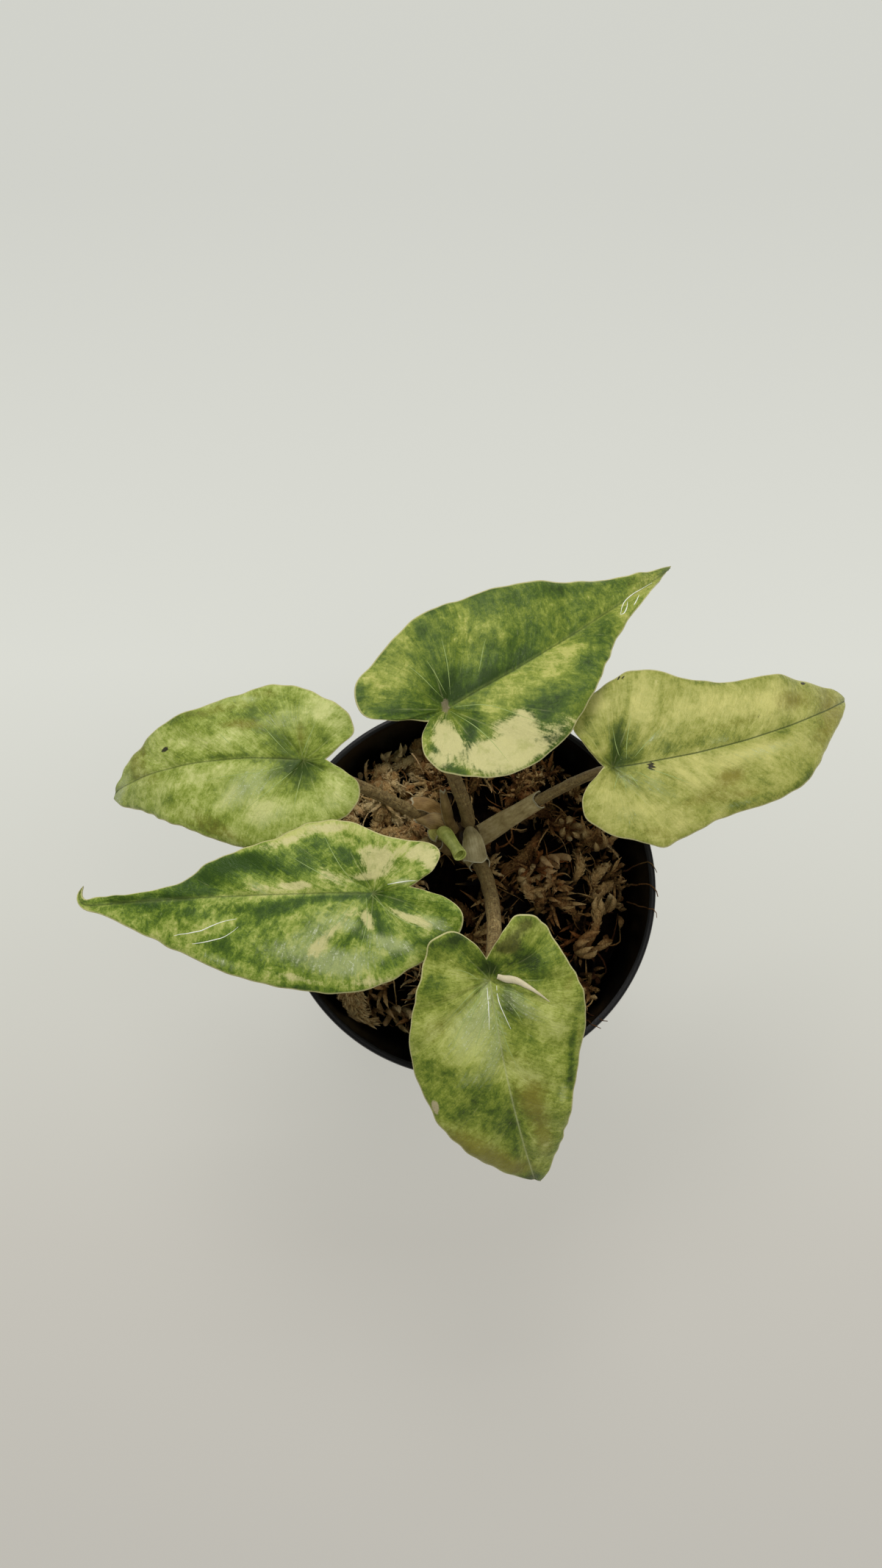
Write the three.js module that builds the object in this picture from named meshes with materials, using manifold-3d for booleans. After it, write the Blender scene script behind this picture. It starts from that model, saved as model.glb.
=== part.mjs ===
// A young variegated alocasia in a black nursery pot filled with sphagnum moss.
// Millimetres, +Z up, +Y away from the viewer, origin on the floor under the middle of the pot.
import * as THREE from "three";
import { mergeVertices } from "three/addons/utils/BufferGeometryUtils.js";
import Module from "manifold-3d";

const wasm = await Module();
wasm.setup();

// Clearance between pieces that touch, and the blades' thickness.
const GAP = 0.3;
const BLADE_THICKNESS = 0.8;
const KEEL_DEPTH = 0.5;

// Thin moulded pot: a tapered wall that thickens into an upright collar.
const POT = {
  height: 75,
  rimRadius: 45,
  rimWidth: 1.8,
  collarHeight: 8.5,
  shoulderRadius: 43,
  baseRadius: 31,
  wall: 1.0,
  floor: 1.2,
  edge: 0.6,
  segments: 60,
  holes: 8,
  holeRadius: 3,
  holeCircle: 23,
};

// Moss filling: a mound that stops short of the wall, with hollows where no light gets in.
const MOSS = {
  crest: 66.5,
  edgeDrop: 7.5,
  reach: 38.8,
  bottom: POT.floor + 0.4,
  rings: 8,
  segments: 36,
  strands: 40,
  seed: 41,
};
const HOLLOWS = [
  { x: -1, y: 12, radius: 10, depth: 5 },
  { x: -5, y: -4, radius: 7, depth: 9 },
  { x: 5, y: 24, radius: 5, depth: 7 },
  { x: -20, y: -31, radius: 8, depth: 8 },
  { x: -13, y: 30, radius: 5, depth: 5 },
  { x: 24, y: -12, radius: 6, depth: 4 },
];
const ROSETTES = [
  { x: 19, y: 7.5, petals: 7, size: 8 },
  { x: 27, y: -15, petals: 6, size: 7 },
];

// Tuft of moss that hangs towards the rim, from its thick root to its tip.
const TUFT = {
  path: [[-28, -19, 65.5], [-28.5, -24, 66.5], [-27, -29.5, 65], [-24.5, -34, 62.5]],
  radii: [2.2, 3.5, 2.1, 0.8],
};

// Short stem that carries every leaf, standing in a plain hole in the moss.
const CROWN = { x: -0.5, y: 12, bottom: 36, top: 76, radius: 5.2, holeRadius: 6.4 };
const STRAND_CLEARANCE = 9;
const ROOT_RADIUS = 3.5;
const PETIOLE = { endRadius: 0.9, steps: 13, sides: 8 };

// Each leaf: where the stalk meets the blade, how the midrib runs from there, and the margin.
// pitch and heading start the midrib; bend and sweep are what they gain by the span's end.
// Margin points are [along the midrib, out from it], from the notch round each lobe to the tip.
const LEAVES = {
  back: {
    base: [-5, 33, 120],
    span: 76,
    heading: 30,
    sweep: 16,
    pitch: -12,
    bend: -34,
    lobeRise: 6,
    fold: 13,
    droop: 0.009,
    dimple: 1.6,
    wave: 0.9,
    waves: 3.5,
    notch: [-5.5, -0.9],
    tip: [75, 0.4],
    left: [[-9.2, 1], [-13.6, 2.6], [-17.2, 5], [-18, 8], [-16.2, 12.6], [-10, 15.4], [0, 19.1],
      [8, 20.2], [19, 19.1], [29, 16], [40, 11.1], [52, 6.1], [63, 2.8]],
    right: [[-8.5, -3], [-10.2, -6], [-10, -10], [-7, -13.8], [-1.5, -17.6], [6.5, -19.8],
      [17, -18.7], [26, -14.6], [44, -5.6], [60, -2]],
    stalk: { rootHeight: 71, angle: 80, lift: 19, out: 1, under: 12, bow: [1, 0], radii: [1.7, 1.5] },
    sleeve: { end: 0.2, radii: [2.6, 2.4] },
  },
  right: {
    base: [31, 22, 110],
    span: 70,
    heading: 7,
    sweep: 27,
    pitch: -3,
    bend: -52,
    lobeRise: 4,
    fold: 9,
    droop: 0.014,
    dimple: 1.4,
    wave: 0.8,
    waves: 3,
    notch: [-1.9, 0.4],
    tip: [71, 0.6],
    left: [[-4.1, 3.1], [-6.6, 6.4], [-7.6, 9.6], [-5.4, 14], [-0.8, 18], [4.5, 20.3], [9, 21.1],
      [14.5, 20], [22.6, 16.9], [33.6, 14], [43, 12.5], [50, 10.6], [58, 7.6], [66, 4]],
    right: [[-4.9, -2.5], [-7.2, -4.9], [-8, -7.6], [-7.4, -10.3], [-5.3, -12.7], [-1.8, -15],
      [2.7, -16.4], [7.5, -18.5], [12.5, -17.3], [21.4, -15.2], [31.8, -14.7], [41, -13],
      [48, -9.6], [57, -5], [66, -1.6]],
    stalk: { rootHeight: 67, angle: 14, lift: 12, out: 8, under: 12, bow: [0, 1.4], radii: [1.45, 1.1] },
    sleeve: { end: 0.46, radii: [2.7, 2.0] },
  },
  left: {
    base: [-37, 25, 103],
    span: 60,
    heading: 175,
    sweep: 22,
    pitch: -6,
    bend: -64,
    lobeRise: 2,
    fold: 6,
    droop: 0.012,
    dimple: 1.4,
    wave: 0.7,
    waves: 3,
    notch: [-5.2, -0.5],
    tip: [55.6, 0.9],
    left: [[-7.6, 0.8], [-11, 2.7], [-13.6, 5], [-13.6, 8.2], [-12, 11], [-8.5, 13.8], [-4.6, 16.4],
      [4, 19.4], [12, 20], [20.6, 18.1], [31, 13.2], [43, 7.4], [50, 4.6]],
    right: [[-8.4, -3.6], [-10.8, -6.6], [-10.4, -9.4], [-8, -12.4], [-2, -15], [6, -17.1],
      [12, -16.5], [21.6, -13.3], [32.6, -10.6], [40, -7.6], [47, -3.8]],
    stalk: { rootHeight: 68.5, angle: 152, lift: 9, out: 9, under: 12, bow: [0, -0.6], radii: [1.5, 1.3] },
    sleeve: { end: 0.22, radii: [2.4, 2.1] },
  },
  near_left: {
    base: [-21, -5, 107],
    span: 68,
    heading: 180,
    sweep: 3,
    hook: -105,
    pitch: -7,
    bend: -14,
    lobeRise: 2,
    fold: 8,
    droop: 0.012,
    dimple: 1.4,
    wave: 0.8,
    waves: 3.5,
    notch: [-8.3, -1.2],
    tip: [72.3, -0.3],
    left: [[-12, -0.2], [-15.7, 1.2], [-18.8, 3.3], [-20, 6], [-18.5, 9.6], [-14, 13], [-5.2, 18.1],
      [3.5, 21], [13, 21.4], [23, 19.4], [35, 15.5], [45.2, 10.9], [52, 7.4], [60, 3.2],
      [64, 1.8], [67, 1], [70, 0.5]],
    right: [[-10.9, -2.8], [-14, -5.4], [-14.8, -8.4], [-12.7, -10.7], [-7.2, -11.3], [-1.5, -12.6],
      [4, -15.1], [9, -16.3], [15.3, -15.5], [22.6, -11.9], [35.8, -7.9], [43, -3.8], [52, -2],
      [60, -1.9], [64.5, -1.7], [67.5, -1.1], [70, -0.7]],
    stalk: {
      rootHeight: 63, angle: 198, lift: 17.5, out: 9, under: 12, bow: [0, 5.4], radii: [1.5, 1.35],
    },
    sleeve: { end: 0.16, radii: [2.4, 2.2] },
  },
  front: {
    base: [4, -24, 113],
    span: 60,
    heading: -82,
    sweep: 14,
    pitch: -22,
    bend: -42,
    lobeRise: 4,
    fold: 8,
    droop: 0.013,
    dimple: 1.4,
    wave: 0.7,
    waves: 3,
    notch: [-5.2, -0.2],
    tip: [57, 1.2],
    left: [[-8.4, 1.9], [-11.5, 4.2], [-13.7, 6.9], [-13.6, 10], [-10.6, 13.2], [-4.5, 15.6],
      [1.8, 18.2], [10, 19.3], [17.9, 18], [29.7, 13.5], [41.4, 9.4], [48, 6.5], [53.2, 3.8]],
    right: [[-8.5, -1.8], [-11.4, -4.4], [-12.4, -8], [-10.5, -11.6], [-6.7, -13.1], [1.3, -15.9],
      [6.5, -17.8], [14, -19.4], [21.5, -18.5], [33.3, -14.8], [42.5, -10.1], [50.7, -3.8]],
    stalk: { rootHeight: 69, angle: 292, lift: 16, out: 9, under: 14, bow: [3, 0], radii: [1.75, 1.6] },
    sleeve: { end: 0.15, radii: [2.9, 2.6] },
  },
};
const MARGIN_ROWS = 30;
const BLADE_COLUMNS = 5;
const VEIN_SLANT = 0.84;
const MIDRIB_STATIONS = 600;
const LONGEST_LOBE = 40;
// How much of a hooked blade's end curls round.
const HOOK_LENGTH = 7.5;

// Leaf still rolled up at the heart of the plant.
const NEW_LEAF = {
  path: [[-4.6, 12.4, 74], [-5.6, 11.8, 81], [-4.9, 10.4, 86], [-3.4, 7.6, 91], [-2.2, 5.2, 94]],
  radii: [1.2, 1.7, 1.6, 1.25, 1.15],
  steps: 12,
  sides: 9,
};

const COLOURS = {
  pot: { color: 0x101113, roughness: 0.42, metalness: 0 },
  moss: { color: 0x7a5f41, roughness: 0.95, metalness: 0 },
  blade: { color: 0x8fa64a, roughness: 0.38, metalness: 0 },
  stalk: { color: 0x7f7052, roughness: 0.6, metalness: 0 },
  crown: { color: 0x857a5a, roughness: 0.65, metalness: 0 },
  newLeaf: { color: 0xa3b56a, roughness: 0.45, metalness: 0 },
};

const { clamp, degToRad: radians, lerp, smoothstep } = THREE.MathUtils;

// Repeatable random numbers from 0 to 1.
function randomFrom(seed) {
  let state = seed;
  return () => {
    state = (state + 0x6d2b79f5) | 0;
    let t = Math.imul(state ^ (state >>> 15), 1 | state);
    t = (t + Math.imul(t ^ (t >>> 7), 61 | t)) ^ t;
    return ((t ^ (t >>> 14)) >>> 0) / 4294967296;
  };
}

function solidOf(geometry) {
  const plain = new THREE.BufferGeometry();
  plain.setAttribute("position", geometry.getAttribute("position"));
  plain.setIndex(geometry.index);
  const merged = mergeVertices(plain, 1e-4);
  return new wasm.Manifold(
    new wasm.Mesh({
      numProp: 3,
      vertProperties: merged.attributes.position.array,
      triVerts: new Uint32Array(merged.index.array),
    }),
  );
}

function geometryOf(solid) {
  const mesh = solid.getMesh();
  const geometry = new THREE.BufferGeometry();
  geometry.setAttribute("position", new THREE.BufferAttribute(mesh.vertProperties, 3));
  geometry.setIndex(new THREE.BufferAttribute(mesh.triVerts, 1));
  geometry.computeVertexNormals();
  return geometry;
}

// Removes loose scraps that a cut leaves behind.
function largestPiece(solid) {
  const pieces = solid.decompose();
  pieces.sort((a, b) => b.volume() - a.volume());
  return pieces[0];
}

// Profile points are [radius, height]; the turned shape stands along +Z.
function turned(profile, segments) {
  const points = profile.map(([r, z]) => new THREE.Vector2(r, z));
  return new THREE.LatheGeometry(points, segments).rotateX(Math.PI / 2);
}

// A closed tube along a curve: radiusAt gives [half width, half height] of its oval section.
function loft(curve, radiusAt, steps, sides) {
  const frames = curve.computeFrenetFrames(steps, false);
  const positions = [];
  const index = [];
  for (let i = 0; i <= steps; i++) {
    const centre = curve.getPointAt(i / steps);
    const [wide, high] = radiusAt(i / steps);
    for (let j = 0; j < sides; j++) {
      const turn = (2 * Math.PI * j) / sides;
      const point = centre
        .clone()
        .addScaledVector(frames.normals[i], wide * Math.cos(turn))
        .addScaledVector(frames.binormals[i], high * Math.sin(turn));
      positions.push(point.x, point.y, point.z);
    }
  }
  const start = positions.length / 3;
  const first = curve.getPointAt(0);
  const last = curve.getPointAt(1);
  positions.push(first.x, first.y, first.z, last.x, last.y, last.z);
  for (let j = 0; j < sides; j++) {
    const k = (j + 1) % sides;
    for (let i = 0; i < steps; i++) {
      const a = i * sides;
      const b = a + sides;
      index.push(a + j, a + k, b + k, a + j, b + k, b + j);
    }
    index.push(start, k, j, start + 1, steps * sides + j, steps * sides + k);
  }
  const geometry = new THREE.BufferGeometry();
  geometry.setAttribute("position", new THREE.Float32BufferAttribute(positions, 3));
  geometry.setIndex(index);
  return geometry;
}

// Reads a list of evenly spaced radii at a share of its length.
function widthAt(radii, share) {
  const place = clamp(share * (radii.length - 1), 0, radii.length - 1.001);
  const i = Math.floor(place);
  return lerp(radii[i], radii[i + 1], place - i);
}

function wallInside(z) {
  const slope = (POT.shoulderRadius - POT.baseRadius) / (POT.height - POT.collarHeight);
  return POT.baseRadius - POT.wall + slope * z;
}

function makePot() {
  const { height, rimRadius, rimWidth, collarHeight, shoulderRadius, baseRadius, wall, floor, edge } = POT;
  const shoulder = height - collarHeight;
  const body = solidOf(
    turned(
      [
        [0, 0],
        [baseRadius - edge, 0],
        [baseRadius, edge],
        [shoulderRadius, shoulder],
        [rimRadius - edge, shoulder],
        [rimRadius, shoulder + edge],
        [rimRadius, height - edge],
        [rimRadius - edge, height],
        [rimRadius - rimWidth + edge, height],
        [rimRadius - rimWidth, height - edge],
        [shoulderRadius - wall, shoulder],
        [wallInside(floor), floor],
        [0, floor],
      ],
      POT.segments,
    ),
  );
  const drill = new THREE.CylinderGeometry(POT.holeRadius, POT.holeRadius, 4 * floor, 16);
  const drills = [];
  for (let i = 0; i < POT.holes; i++) {
    const turn = (2 * Math.PI * (i + 0.5)) / POT.holes;
    const hole = drill.clone().rotateX(Math.PI / 2);
    hole.translate(POT.holeCircle * Math.cos(turn), POT.holeCircle * Math.sin(turn), 0);
    drills.push(solidOf(hole));
  }
  return geometryOf(body.subtract(wasm.Manifold.union(drills)));
}

// Height of the moss at a place in the pot.
function mossTop(x, y) {
  const share = Math.hypot(x, y) / MOSS.reach;
  let z = MOSS.crest - MOSS.edgeDrop * share ** 5;
  z += 1.5 * Math.sin(0.29 * x + 0.8) * Math.cos(0.24 * y - 0.4);
  z += 0.9 * Math.sin(0.52 * x - 0.38 * y + 1.7);
  for (const h of HOLLOWS) {
    const away = ((x - h.x) ** 2 + (y - h.y) ** 2) / h.radius ** 2;
    z -= h.depth * Math.exp(-away);
  }
  return z;
}

// The filling below its strands: tapered with the pot, with the mound's uneven top.
function makeMossBody() {
  const { bottom, rings, segments } = MOSS;
  const positions = [0, 0, bottom];
  const index = [];
  const ring = (radiusAt, heightAt) => {
    for (let j = 0; j < segments; j++) {
      const turn = (2 * Math.PI * j) / segments;
      const radius = radiusAt(turn);
      const x = radius * Math.cos(turn);
      const y = radius * Math.sin(turn);
      positions.push(x, y, heightAt(x, y));
    }
  };
  ring(() => wallInside(bottom) - GAP, () => bottom);
  for (let i = rings; i > 0; i--) {
    const reach = wallInside(MOSS.crest - MOSS.edgeDrop - 6) - 2 * GAP;
    ring((turn) => (i / rings) * (reach - 0.5 - 0.5 * Math.sin(5 * turn)), mossTop);
  }
  const apex = positions.length / 3;
  positions.push(0, 0, mossTop(0, 0));
  for (let j = 0; j < segments; j++) {
    const k = (j + 1) % segments;
    index.push(0, 1 + k, 1 + j);
    for (let i = 0; i < rings; i++) {
      const a = 1 + i * segments;
      const b = a + segments;
      index.push(a + j, a + k, b + k, a + j, b + k, b + j);
    }
    const last = 1 + rings * segments;
    index.push(last + j, last + k, apex);
  }
  const geometry = new THREE.BufferGeometry();
  geometry.setAttribute("position", new THREE.Float32BufferAttribute(positions, 3));
  geometry.setIndex(index);
  return solidOf(geometry);
}

function makeTuft() {
  const curve = new THREE.CatmullRomCurve3(TUFT.path.map((p) => new THREE.Vector3(...p)));
  return solidOf(loft(curve, (share) => [widthAt(TUFT.radii, share), widthAt(TUFT.radii, share) * 0.8], 7, 8));
}

// One curled strand: both ends lie under the surface and the middle stands out of it.
function makeStrand(x, y, heading, length, curl, radius, rise) {
  const points = [];
  const parts = 4;
  let px = x;
  let py = y;
  let turn = heading;
  for (let i = 0; i <= parts; i++) {
    const share = i / parts;
    const reach = Math.hypot(px, py) / (wallInside(MOSS.crest - MOSS.edgeDrop) - 3);
    if (reach > 1) {
      px /= reach;
      py /= reach;
    }
    if (Math.hypot(px - CROWN.x, py - CROWN.y) < STRAND_CLEARANCE) return null;
    const z = mossTop(px, py) - 1.6 + (rise + 1.6) * Math.sin(Math.PI * share);
    points.push(new THREE.Vector3(px, py, z));
    px += (length / parts) * Math.cos(turn);
    py += (length / parts) * Math.sin(turn);
    turn += curl / parts;
  }
  const curve = new THREE.CatmullRomCurve3(points);
  const section = (share) => {
    const swell = radius * (0.65 + 0.35 * Math.sin(Math.PI * share));
    return [swell, swell * 0.8];
  };
  return solidOf(loft(curve, section, 5, 4));
}

function makeStrands() {
  const random = randomFrom(MOSS.seed);
  const strands = [];
  const reach = wallInside(MOSS.crest - MOSS.edgeDrop) - 5;
  while (strands.length < MOSS.strands) {
    const turn = 2 * Math.PI * random();
    const radius = reach * Math.sqrt(random());
    const x = radius * Math.cos(turn);
    const y = radius * Math.sin(turn);
    const heading = 2 * Math.PI * random();
    const length = 7 + 10 * random();
    const curl = 5 * (random() - 0.5);
    const thickness = 0.9 + 0.6 * random();
    const rise = 0.8 + 1.6 * random();
    strands.push(makeStrand(x, y, heading, length, curl, thickness, rise));
  }
  for (const rosette of ROSETTES) {
    for (let i = 0; i < rosette.petals; i++) {
      const turn = (2 * Math.PI * i) / rosette.petals;
      const x = rosette.x + Math.cos(turn);
      const y = rosette.y + Math.sin(turn);
      strands.push(makeStrand(x, y, turn, rosette.size, 0.8, 1.1, 3));
    }
  }
  return strands;
}

function makeMoss() {
  const hole = new THREE.CylinderGeometry(CROWN.holeRadius, CROWN.holeRadius, 60, 20);
  hole.rotateX(Math.PI / 2).translate(CROWN.x, CROWN.y, CROWN.bottom - GAP + 30);
  const heap = wasm.Manifold.union([makeMossBody(), makeTuft(), ...makeStrands().filter(Boolean)]);
  return geometryOf(largestPiece(heap.subtract(solidOf(hole))));
}

// The midrib of a leaf in its own frame: starts along +X, then sinks and turns as it runs out.
function midribOf(leaf) {
  const step = (leaf.tip[0] + LONGEST_LOBE) / MIDRIB_STATIONS;
  const directions = [];
  for (let i = 0; i <= MIDRIB_STATIONS; i++) {
    const along = i * step - LONGEST_LOBE;
    const share = Math.max(along / leaf.span, 0);
    const lobe = clamp(-along / 15, 0, 1);
    const last = smoothstep(along, leaf.tip[0] - HOOK_LENGTH, leaf.tip[0]);
    const pitch = radians(leaf.pitch + leaf.bend * share ** 1.5 - leaf.lobeRise * lobe);
    const heading = radians(leaf.sweep * share + (leaf.hook ?? 0) * last);
    directions.push(
      new THREE.Vector3(
        Math.cos(pitch) * Math.cos(heading),
        Math.cos(pitch) * Math.sin(heading),
        Math.sin(pitch),
      ),
    );
  }
  const places = [new THREE.Vector3()];
  for (let i = 1; i <= MIDRIB_STATIONS; i++) {
    const middle = directions[i - 1].clone().add(directions[i]).multiplyScalar(step / 2);
    places.push(places[i - 1].clone().add(middle));
  }
  const at = (list, along) => {
    const place = clamp((along + LONGEST_LOBE) / step, 0, MIDRIB_STATIONS - 1e-6);
    const i = Math.floor(place);
    return list[i].clone().lerp(list[i + 1], place - i);
  };
  const zero = at(places, 0);
  return (along) => ({ place: at(places, along).sub(zero), direction: at(directions, along).normalize() });
}

// A point of the blade's middle surface: across is positive on the left of the midrib.
function bladePoint(leaf, midrib, along, across) {
  const { place, direction } = midrib(along);
  const side = new THREE.Vector3(0, 0, 1).cross(direction).normalize();
  const normal = direction.clone().cross(side);
  const out = Math.abs(across);
  const dimple = leaf.dimple * (1 - Math.exp(-(along * along + across * across) / 30));
  const lift = Math.tan(radians(leaf.fold)) * out - leaf.droop * out * out + dimple;
  return { point: place.addScaledVector(side, across).addScaledVector(normal, lift), normal };
}

// The margin from notch to tip as evenly spaced [along, across] pairs.
function marginOf(leaf, points, rows) {
  const corners = [leaf.notch, ...points, leaf.tip].map(([x, y]) => new THREE.Vector2(x, y));
  return new THREE.SplineCurve(corners).getSpacedPoints(rows);
}

// Where the rows of both sides start: on the stalk in the lobes, then along the midrib to the tip.
function rootsOf(leaf, sides) {
  let reached = 0;
  const roots = [];
  for (let i = 0; i < MARGIN_ROWS; i++) {
    const ends = sides.map(({ margin }) => margin[i].x - VEIN_SLANT * Math.abs(margin[i].y));
    reached = Math.max(reached, (ends[0] + ends[1]) / 2);
    roots.push(new THREE.Vector2(reached, 0));
  }
  roots.push(new THREE.Vector2(...leaf.tip));
  return roots;
}

// Rows fan out from the stalk in the lobes and slant off the midrib beyond it, as the veins do.
function makeBlade(leaf) {
  const midrib = midribOf(leaf);
  const flat = [];
  const raised = [];
  const index = [];
  const known = new Map();
  const vertex = (along, across, lift) => {
    const key = along.toFixed(4) + " " + across.toFixed(4);
    if (!known.has(key)) {
      const { point, normal } = bladePoint(leaf, midrib, along, across);
      point.addScaledVector(normal, lift);
      known.set(key, flat.length);
      flat.push([along, across]);
      raised.push(point);
    }
    return known.get(key);
  };
  const triangle = (sign, a, b, c) => {
    if (a === b || b === c || a === c) return;
    if (sign > 0) index.push(a, b, c);
    else index.push(a, c, b);
  };
  const sides = [
    { sign: 1, margin: marginOf(leaf, leaf.left, MARGIN_ROWS), phase: 0.6 },
    { sign: -1, margin: marginOf(leaf, leaf.right, MARGIN_ROWS), phase: 2.2 },
  ];
  const roots = rootsOf(leaf, sides);
  const margins = [];
  for (const { sign, margin, phase } of sides) {
    const rows = margin.map((end, i) => {
      const share = i / MARGIN_ROWS;
      const swing = leaf.wave * Math.sin(2 * Math.PI * leaf.waves * share + phase);
      const fade = smoothstep(share, 0, 0.12) * (1 - smoothstep(share, 0.8, 1));
      const row = [];
      for (let j = 0; j <= BLADE_COLUMNS; j++) {
        const r = j / BLADE_COLUMNS;
        row.push(vertex(lerp(roots[i].x, end.x, r), lerp(roots[i].y, end.y, r), swing * fade * r * r));
      }
      return row;
    });
    for (let i = 0; i < MARGIN_ROWS; i++) {
      for (let j = 0; j < BLADE_COLUMNS; j++) {
        const [a, b, c, d] = [rows[i][j], rows[i + 1][j], rows[i + 1][j + 1], rows[i][j + 1]];
        triangle(sign, a, b, c);
        triangle(sign, a, c, d);
      }
    }
    margins.push(rows.map((row) => row[BLADE_COLUMNS]));
  }
  return thicken(leaf, flat, raised, index, margins);
}

// Gives the blade its two faces and closes it round the margin.
function thicken(leaf, flat, raised, index, margins) {
  const count = raised.length;
  const sheet = new THREE.BufferGeometry();
  sheet.setAttribute("position", new THREE.Float32BufferAttribute(raised.flatMap((p) => [p.x, p.y, p.z]), 3));
  sheet.setIndex(index);
  sheet.computeVertexNormals();
  const positions = [];
  for (const face of [1, -1]) {
    for (let i = 0; i < count; i++) {
      const normal = new THREE.Vector3().fromBufferAttribute(sheet.attributes.normal, i);
      const [along, across] = flat[i];
      const keel = Math.abs(across) < 0.01 && along > 4 ? KEEL_DEPTH * (1 - along / leaf.tip[0]) : 0;
      const depth = face > 0 ? BLADE_THICKNESS / 2 : -BLADE_THICKNESS / 2 - keel;
      const point = raised[i].clone().addScaledVector(normal, depth);
      positions.push(point.x, point.y, point.z);
    }
  }
  const faces = [];
  for (let i = 0; i < index.length; i += 3) {
    const [a, b, c] = index.slice(i, i + 3);
    faces.push(a, b, c, a + count, c + count, b + count);
  }
  // The sheet's edge runs from the notch to the tip down one side and back up the other.
  const loop = [...margins[0], ...margins[1].slice(1, -1).reverse()];
  loop.forEach((a, i) => {
    const b = loop[(i + 1) % loop.length];
    faces.push(a, b, b + count, a, b + count, a + count);
  });
  const geometry = new THREE.BufferGeometry();
  geometry.setAttribute("position", new THREE.Float32BufferAttribute(positions, 3));
  geometry.setIndex(faces);
  geometry.computeVertexNormals();
  return geometry;
}

// The stalk's line: out of the crown, up, and in under the blade where it is attached.
function stalkCurve(leaf, endGap) {
  const { stalk, base, pitch, heading } = leaf;
  const turn = radians(stalk.angle);
  const root = new THREE.Vector3(
    CROWN.x + ROOT_RADIUS * Math.cos(turn),
    CROWN.y + ROOT_RADIUS * Math.sin(turn),
    stalk.rootHeight,
  );
  const tilt = radians(pitch);
  const way = radians(heading);
  const bladeNormal = new THREE.Vector3(
    -Math.sin(tilt) * Math.cos(way),
    -Math.sin(tilt) * Math.sin(way),
    Math.cos(tilt),
  );
  const end = new THREE.Vector3(...base).addScaledVector(bladeNormal, -endGap);
  const arriving = new THREE.Vector3(Math.cos(way) * 0.55, Math.sin(way) * 0.55, 0.84);
  const first = root.clone();
  first.x += stalk.out * Math.cos(turn);
  first.y += stalk.out * Math.sin(turn);
  first.z += stalk.lift;
  const second = end.clone().addScaledVector(arriving, -stalk.under);
  first.add(new THREE.Vector3(...stalk.bow, 0));
  second.add(new THREE.Vector3(...stalk.bow, 0));
  return new THREE.CubicBezierCurve3(root, first, second, end);
}

function stalkRadius(stalk, share) {
  return lerp(lerp(...stalk.radii, share), PETIOLE.endRadius, smoothstep(share, 0.94, 1));
}

function makeStalk(leaf, extra = 0) {
  const curve = stalkCurve(leaf, BLADE_THICKNESS / 2 + GAP + 0.7 * PETIOLE.endRadius);
  const section = (share) => {
    const radius = stalkRadius(leaf.stalk, share) + extra;
    return [radius, radius];
  };
  return loft(curve, section, PETIOLE.steps, PETIOLE.sides);
}

// The papery sheath round a stalk's foot, wider than the stalk, cut off short.
function makeSleeve(leaf) {
  const whole = stalkCurve(leaf, BLADE_THICKNESS);
  const points = [];
  for (let i = 0; i <= 6; i++) points.push(whole.getPoint((leaf.sleeve.end * i) / 6));
  const section = (share) => {
    const wide = lerp(...leaf.sleeve.radii, share);
    return [wide, wide];
  };
  return solidOf(loft(new THREE.CatmullRomCurve3(points), section, 6, 10));
}

function newLeafCurve() {
  return new THREE.CatmullRomCurve3(NEW_LEAF.path.map((p) => new THREE.Vector3(...p)));
}

function makeNewLeaf(extra = 0) {
  const section = (share) => {
    const radius = widthAt(NEW_LEAF.radii, share) + extra;
    return [radius, radius];
  };
  return loft(newLeafCurve(), section, NEW_LEAF.steps, NEW_LEAF.sides);
}

// The stem with its sheaths, hollowed where each stalk and the rolled leaf grow out of it.
function makeCrown() {
  const { bottom, top, radius } = CROWN;
  const stem = turned(
    [
      [0, bottom],
      [radius - 2, bottom + 1],
      [radius - 0.6, bottom + 12],
      [radius, 62],
      [radius, 71],
      [radius - 1.6, top - 1.5],
      [0, top],
    ],
    16,
  ).translate(CROWN.x, CROWN.y, 0);
  const leaves = Object.values(LEAVES);
  const grown = wasm.Manifold.union([solidOf(stem), ...leaves.map((leaf) => makeSleeve(leaf))]);
  const room = leaves.map((leaf) => solidOf(makeStalk(leaf, GAP)));
  room.push(solidOf(makeNewLeaf(GAP)));
  return geometryOf(largestPiece(grown.subtract(wasm.Manifold.union(room))));
}

function meshOf(name, geometry, look) {
  const mesh = new THREE.Mesh(geometry, new THREE.MeshStandardMaterial(look));
  mesh.name = name;
  return mesh;
}

const plant = new THREE.Group();
plant.add(meshOf("nursery_pot", makePot(), COLOURS.pot));
plant.add(meshOf("sphagnum_moss", makeMoss(), COLOURS.moss));
plant.add(meshOf("crown", makeCrown(), COLOURS.crown));
plant.add(meshOf("new_leaf", makeNewLeaf(), COLOURS.newLeaf));
for (const [name, leaf] of Object.entries(LEAVES)) {
  plant.add(meshOf("petiole_" + name, makeStalk(leaf), COLOURS.stalk));
  const holder = new THREE.Group();
  holder.position.set(...leaf.base);
  holder.rotation.z = radians(leaf.heading);
  holder.add(meshOf("blade_" + name, makeBlade(leaf), COLOURS.blade));
  plant.add(holder);
}

export default plant;
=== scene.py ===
import math

import bpy
import numpy as np
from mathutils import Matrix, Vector
from mathutils.bvhtree import BVHTree


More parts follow.
